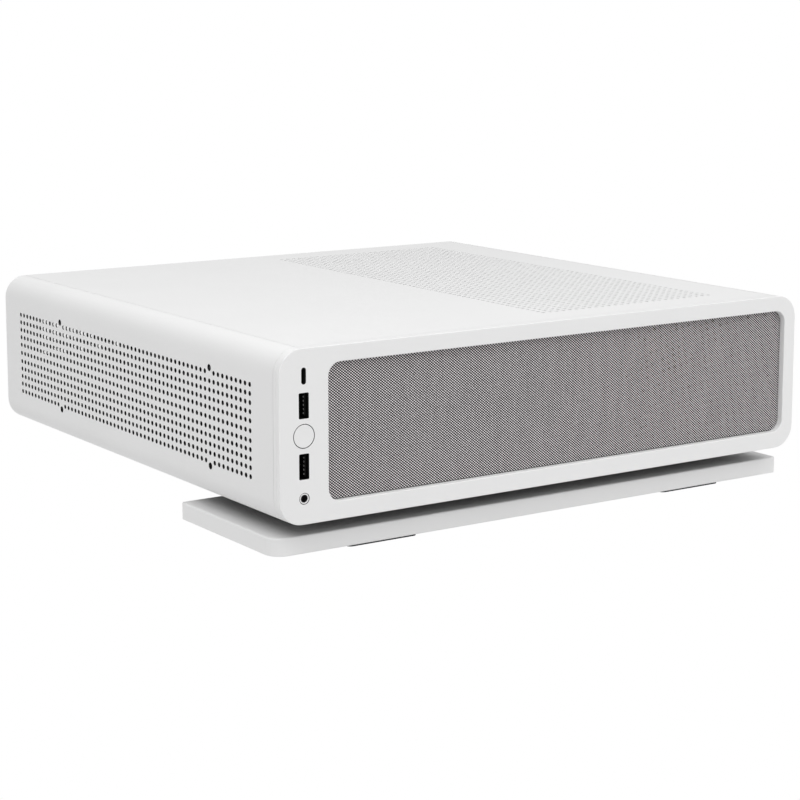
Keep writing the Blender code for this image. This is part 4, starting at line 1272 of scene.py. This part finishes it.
def card_board(shape, low, high, at):
    """The board with its gilt edge contacts, small parts and cooler screws."""
    shape.box((low.x + 6, low.y, low.z), high, BOARD)
    edge = (low.y + 135, low.y + 223)
    shape.box((low.x, edge[0], low.z), (low.x + 6.1, edge[1], high.z), BOARD)
    pitch = 1.0
    contact = (4.3, 0.6, high.z - low.z + 0.06)
    count = int((edge[1] - edge[0] - 3) / pitch)
    shape.row((low.x + 0.3, edge[0] + 1.5, low.z - 0.03), contact, (0, pitch, 0), count, GOLD)
    shape.box((high.x - 46, low.y, high.z), (high.x - 26, low.y + 9, high.z + 0.2), BLACK)
    area = (low.x + 10, low.y + 8, high.x - 6, high.y - 16)
    scattered(shape, area, low.z, 260, 21, toward=-1)
    for x, y in product((low.x + 40, low.x + 78), (low.y + 100, low.y + 138)):
        screw(shape, (x, y, low.z), (0, 0, -1), 2.4)


def card_bracket(shape, low, high, at):
    """The slotted steel bracket and the four display sockets in it."""
    board = corners("card_board")[0].z
    places = evenly(26, 24, 4)
    width = 18
    loops = [rounded(low.x, low.z, high.x, high.z, 1.0, 3)]
    loops += [rectangle(x, board + 3, x + width, board + 10) for x in places]
    loops += [slotted(x, board + 16, x + 5, board + 33) for x in evenly(24, 8, 11)]
    shape.plate(loops, soft_edges(high.y - low.y), "XZ", low.y, STEEL)
    for x in places:
        near = Vector((x + 0.4, low.y - 11, board + 3.2))
        far = Vector((x + width - 0.4, low.y + 0.5, board + 9.8))
        tube(shape, near, far, 0.6, 9.0, STEEL)
        shape.box(near, (far.x, far.y - 8.9, far.z), BLACK)
        tongue = ((x + 3.5, near.y + 2, board + 6.0), (x + width - 3.5, far.y - 1.4, board + 7.4))
        shape.box(*tongue, BLACK, 0.2)


def riser_card(shape, low, high, at):
    """The upright board with the socket that grips the graphics card's edge."""
    shape.box(low, (low.x + 1.6, high.y, high.z), BOARD)
    card = corners("card_board")
    z0 = card[0].z - 4.4
    z1 = card[1].z + 4
    for bottom, top in ((z0, card[0].z - GAP), (card[1].z + GAP, z1)):
        shape.box((low.x + 1.5, low.y + 2, bottom), (high.x, high.y - 4, top), BLACK, 0.3)
    for y in (low.y + 2, high.y - 5.4):
        shape.box((low.x + 1.5, y, z0), (high.x, y + 1.4, z1), BLACK, 0.3)


# ---------------------------------------------------------------- small pieces

def storage_drive(shape, low, high, at):
    """A flat metal case with a raised label field, screws and its connector at one end."""
    shape.box(low, high, BLACK_METAL, 0.8, 2)
    field = ((low.x - 0.05, low.y + 4, low.z + 4), (high.x + 0.05, high.y - 12, high.z - 4))
    shape.box(*field, GREY, 0.3)
    for y, z in product((low.y + 12, high.y - 24), (low.z + 3, high.z - 3)):
        screw(shape, (low.x, y, z), (-1, 0, 0), 1.8)
    contact = (1.8, 0.7, 0.9)
    shape.row((low.x + 2.4, high.y - 0.6, low.z + 14), contact, (0, 0, 1.6), 22, GOLD)


def front_io_board(shape, low, high, at):
    """The narrow board behind the front sockets, with its switch and small parts."""
    z = middle("power_button").z
    face = high.y - 1.6
    back = high.y - 0.02
    shape.box((low.x, face, low.z), high, BOARD)
    shape.box((PORT_X - 3, face - 2.6, z - 3), (PORT_X + 3, face + 0.1, z + 3), BLACK, 0.2)
    dome = [(0.0, -4.3), (1.3, -4.3), (1.6, -4.0), (1.6, -2.0), (0.0, -2.0)]
    shape.turned(dome, (PORT_X, face, z), STEEL, "Y", 20)
    shape.row((high.x - 3.4, back, low.z + 5), (1.6, 0.72, 2.4), (0, 0, 8.6), 8, TAN, 0.1)
    shape.box((PORT_X - 5, back, z - 3), (PORT_X + 1, high.y + 1.1, z + 3), BLACK, 0.1)


def spacers():
    """The two round spacers between the body and the base plate."""
    for word in ("left", "right"):
        low, high = corners(f"base_spacer_{word}")
        profile = [(0.0, high.z), (21.2, high.z), (22.0, high.z - 0.8), (22.0, low.z + 0.3),
                   (21.7, low.z), (0.0, low.z)]
        disc(f"base_spacer_{word}", profile, PAINT, 64)


def interior():
    """All that the covers hide."""
    fans()
    build_each(motherboard)
    for number in (1, 2):
        build(f"memory_module_{number}", memory_module)
    build_each(processor_heat_sink, io_shield, network_socket, usb_stack, display_sockets)
    build_each(psu_case, psu_rocker, mains_plug, mains_inlet)
    build_each(card_shroud, card_heat_sink, card_board, card_bracket, riser_card)
    build_each(storage_drive, front_io_board)
    spacers()


# ---------------------------------------------------------------- the studio

FLOOR_GLOW = 0.88
SKY_GLOW = 1.08
FULL_WHITE = (1.0, 1.0, 1.0, 1.0)


def floor_finish():
    """Looks white to the camera; to the object it glows, and the glow is dimmed under the object's
    footprint as a painted shadow.
    """
    made = Finish("floor", (0.0, 0.0, 0.0), 1.0, Specular_IOR_Level=0.0)
    made.feed("Emission Color", FULL_WHITE)
    away = made.parts(made.node("VectorMath", "Vector", {"operation": "ABSOLUTE"}, {0: made.place}))
    spread = made.math("MAXIMUM", away["X"], away["Y"])
    # the glow falls off under the object's footprint: a painted shadow on the floor
    glow_with_painted_shadow = made.ramp(spread, 0.13, 0.175, 0.02, FLOOR_GLOW)
    seen = made.node("LightPath", "Is Camera Ray")
    made.feed("Emission Strength", made.ramp(seen, 0.0, 1.0, glow_with_painted_shadow, 1.0))
    return made.material


def sky():
    """A world that is white to the camera, and brightens from the horizon up for the object."""
    world = bpy.data.worlds.new("studio")
    bpy.context.scene.world = world
    world.use_nodes = True
    made = Nodes(world.node_tree)
    height = made.parts(made.node("TexCoord", "Generated"))["Z"]
    glow = made.ramp(height, 0.0, 1.0, 0.0, SKY_GLOW)
    lit = made.tree.nodes["Background"]
    made.plug(lit.inputs["Color"], FULL_WHITE)
    made.plug(lit.inputs["Strength"], glow)
    backdrop = made.node("Background", 0, inputs={"Color": FULL_WHITE})
    seen = made.node("LightPath", "Is Camera Ray")
    mixed = made.node("MixShader", 0, inputs={0: seen, 1: lit.outputs[0], 2: backdrop})
    made.plug(made.tree.nodes["World Output"].inputs["Surface"], mixed)


def light(name, place, size, power):
    """A soft square lamp that faces the object."""
    target = Vector((0, 0, 0.06))
    lamp = bpy.data.lights.new(name, "AREA")
    lamp.size = size
    lamp.energy = power
    obj = bpy.data.objects.new(name, lamp)
    obj.location = place
    obj.rotation_euler = (target - Vector(place)).to_track_quat("-Z", "Y").to_euler()
    bpy.context.scene.collection.objects.link(obj)


def studio():
    """A white sweep of floor and sky, soft lamps, and the camera; its lengths are in metres."""
    scene = bpy.context.scene
    scene.view_settings.view_transform = "Standard"
    sky()
    half = 6.0
    below_feet = 0.0002
    mesh = bpy.data.meshes.new("floor")
    mesh.from_pydata([(x, y, 0) for x, y in rectangle(-half, -half, half, half)], [], [(0, 1, 2, 3)])
    mesh.materials.append(floor_finish())
    floor = bpy.data.objects.new("floor", mesh)
    floor.location.z = -below_feet
    scene.collection.objects.link(floor)

    light("front_light", (0.55, -1.45, 1.2), 1.2, 12.5)
    light("left_light", (-1.12, -0.45, 1.52), 1.2, 13)

    camera_data = bpy.data.cameras.new("camera")
    camera_data.sensor_width = 36.0
    camera_data.lens = 93.632
    camera_data.shift_y = -0.10
    camera = bpy.data.objects.new("camera", camera_data)
    camera.location = (-0.73678, -1.10514, 0.29965)
    camera.rotation_euler = (math.radians(81.177), 0.0, math.radians(-34.025))
    scene.collection.objects.link(camera)
    scene.camera = camera


def repaint():
    """Gives every CAD node its finished material, which shows on those that stay."""
    for name, obj in frame["nodes"].items():
        obj.data.materials.clear()
        obj.data.materials.append(SLEEVE if name.endswith("_cable") else MATERIALS[SLOT_OF[name]])


repaint()
covers()
front()
base()
build_each(rear_panel)
interior()
studio()
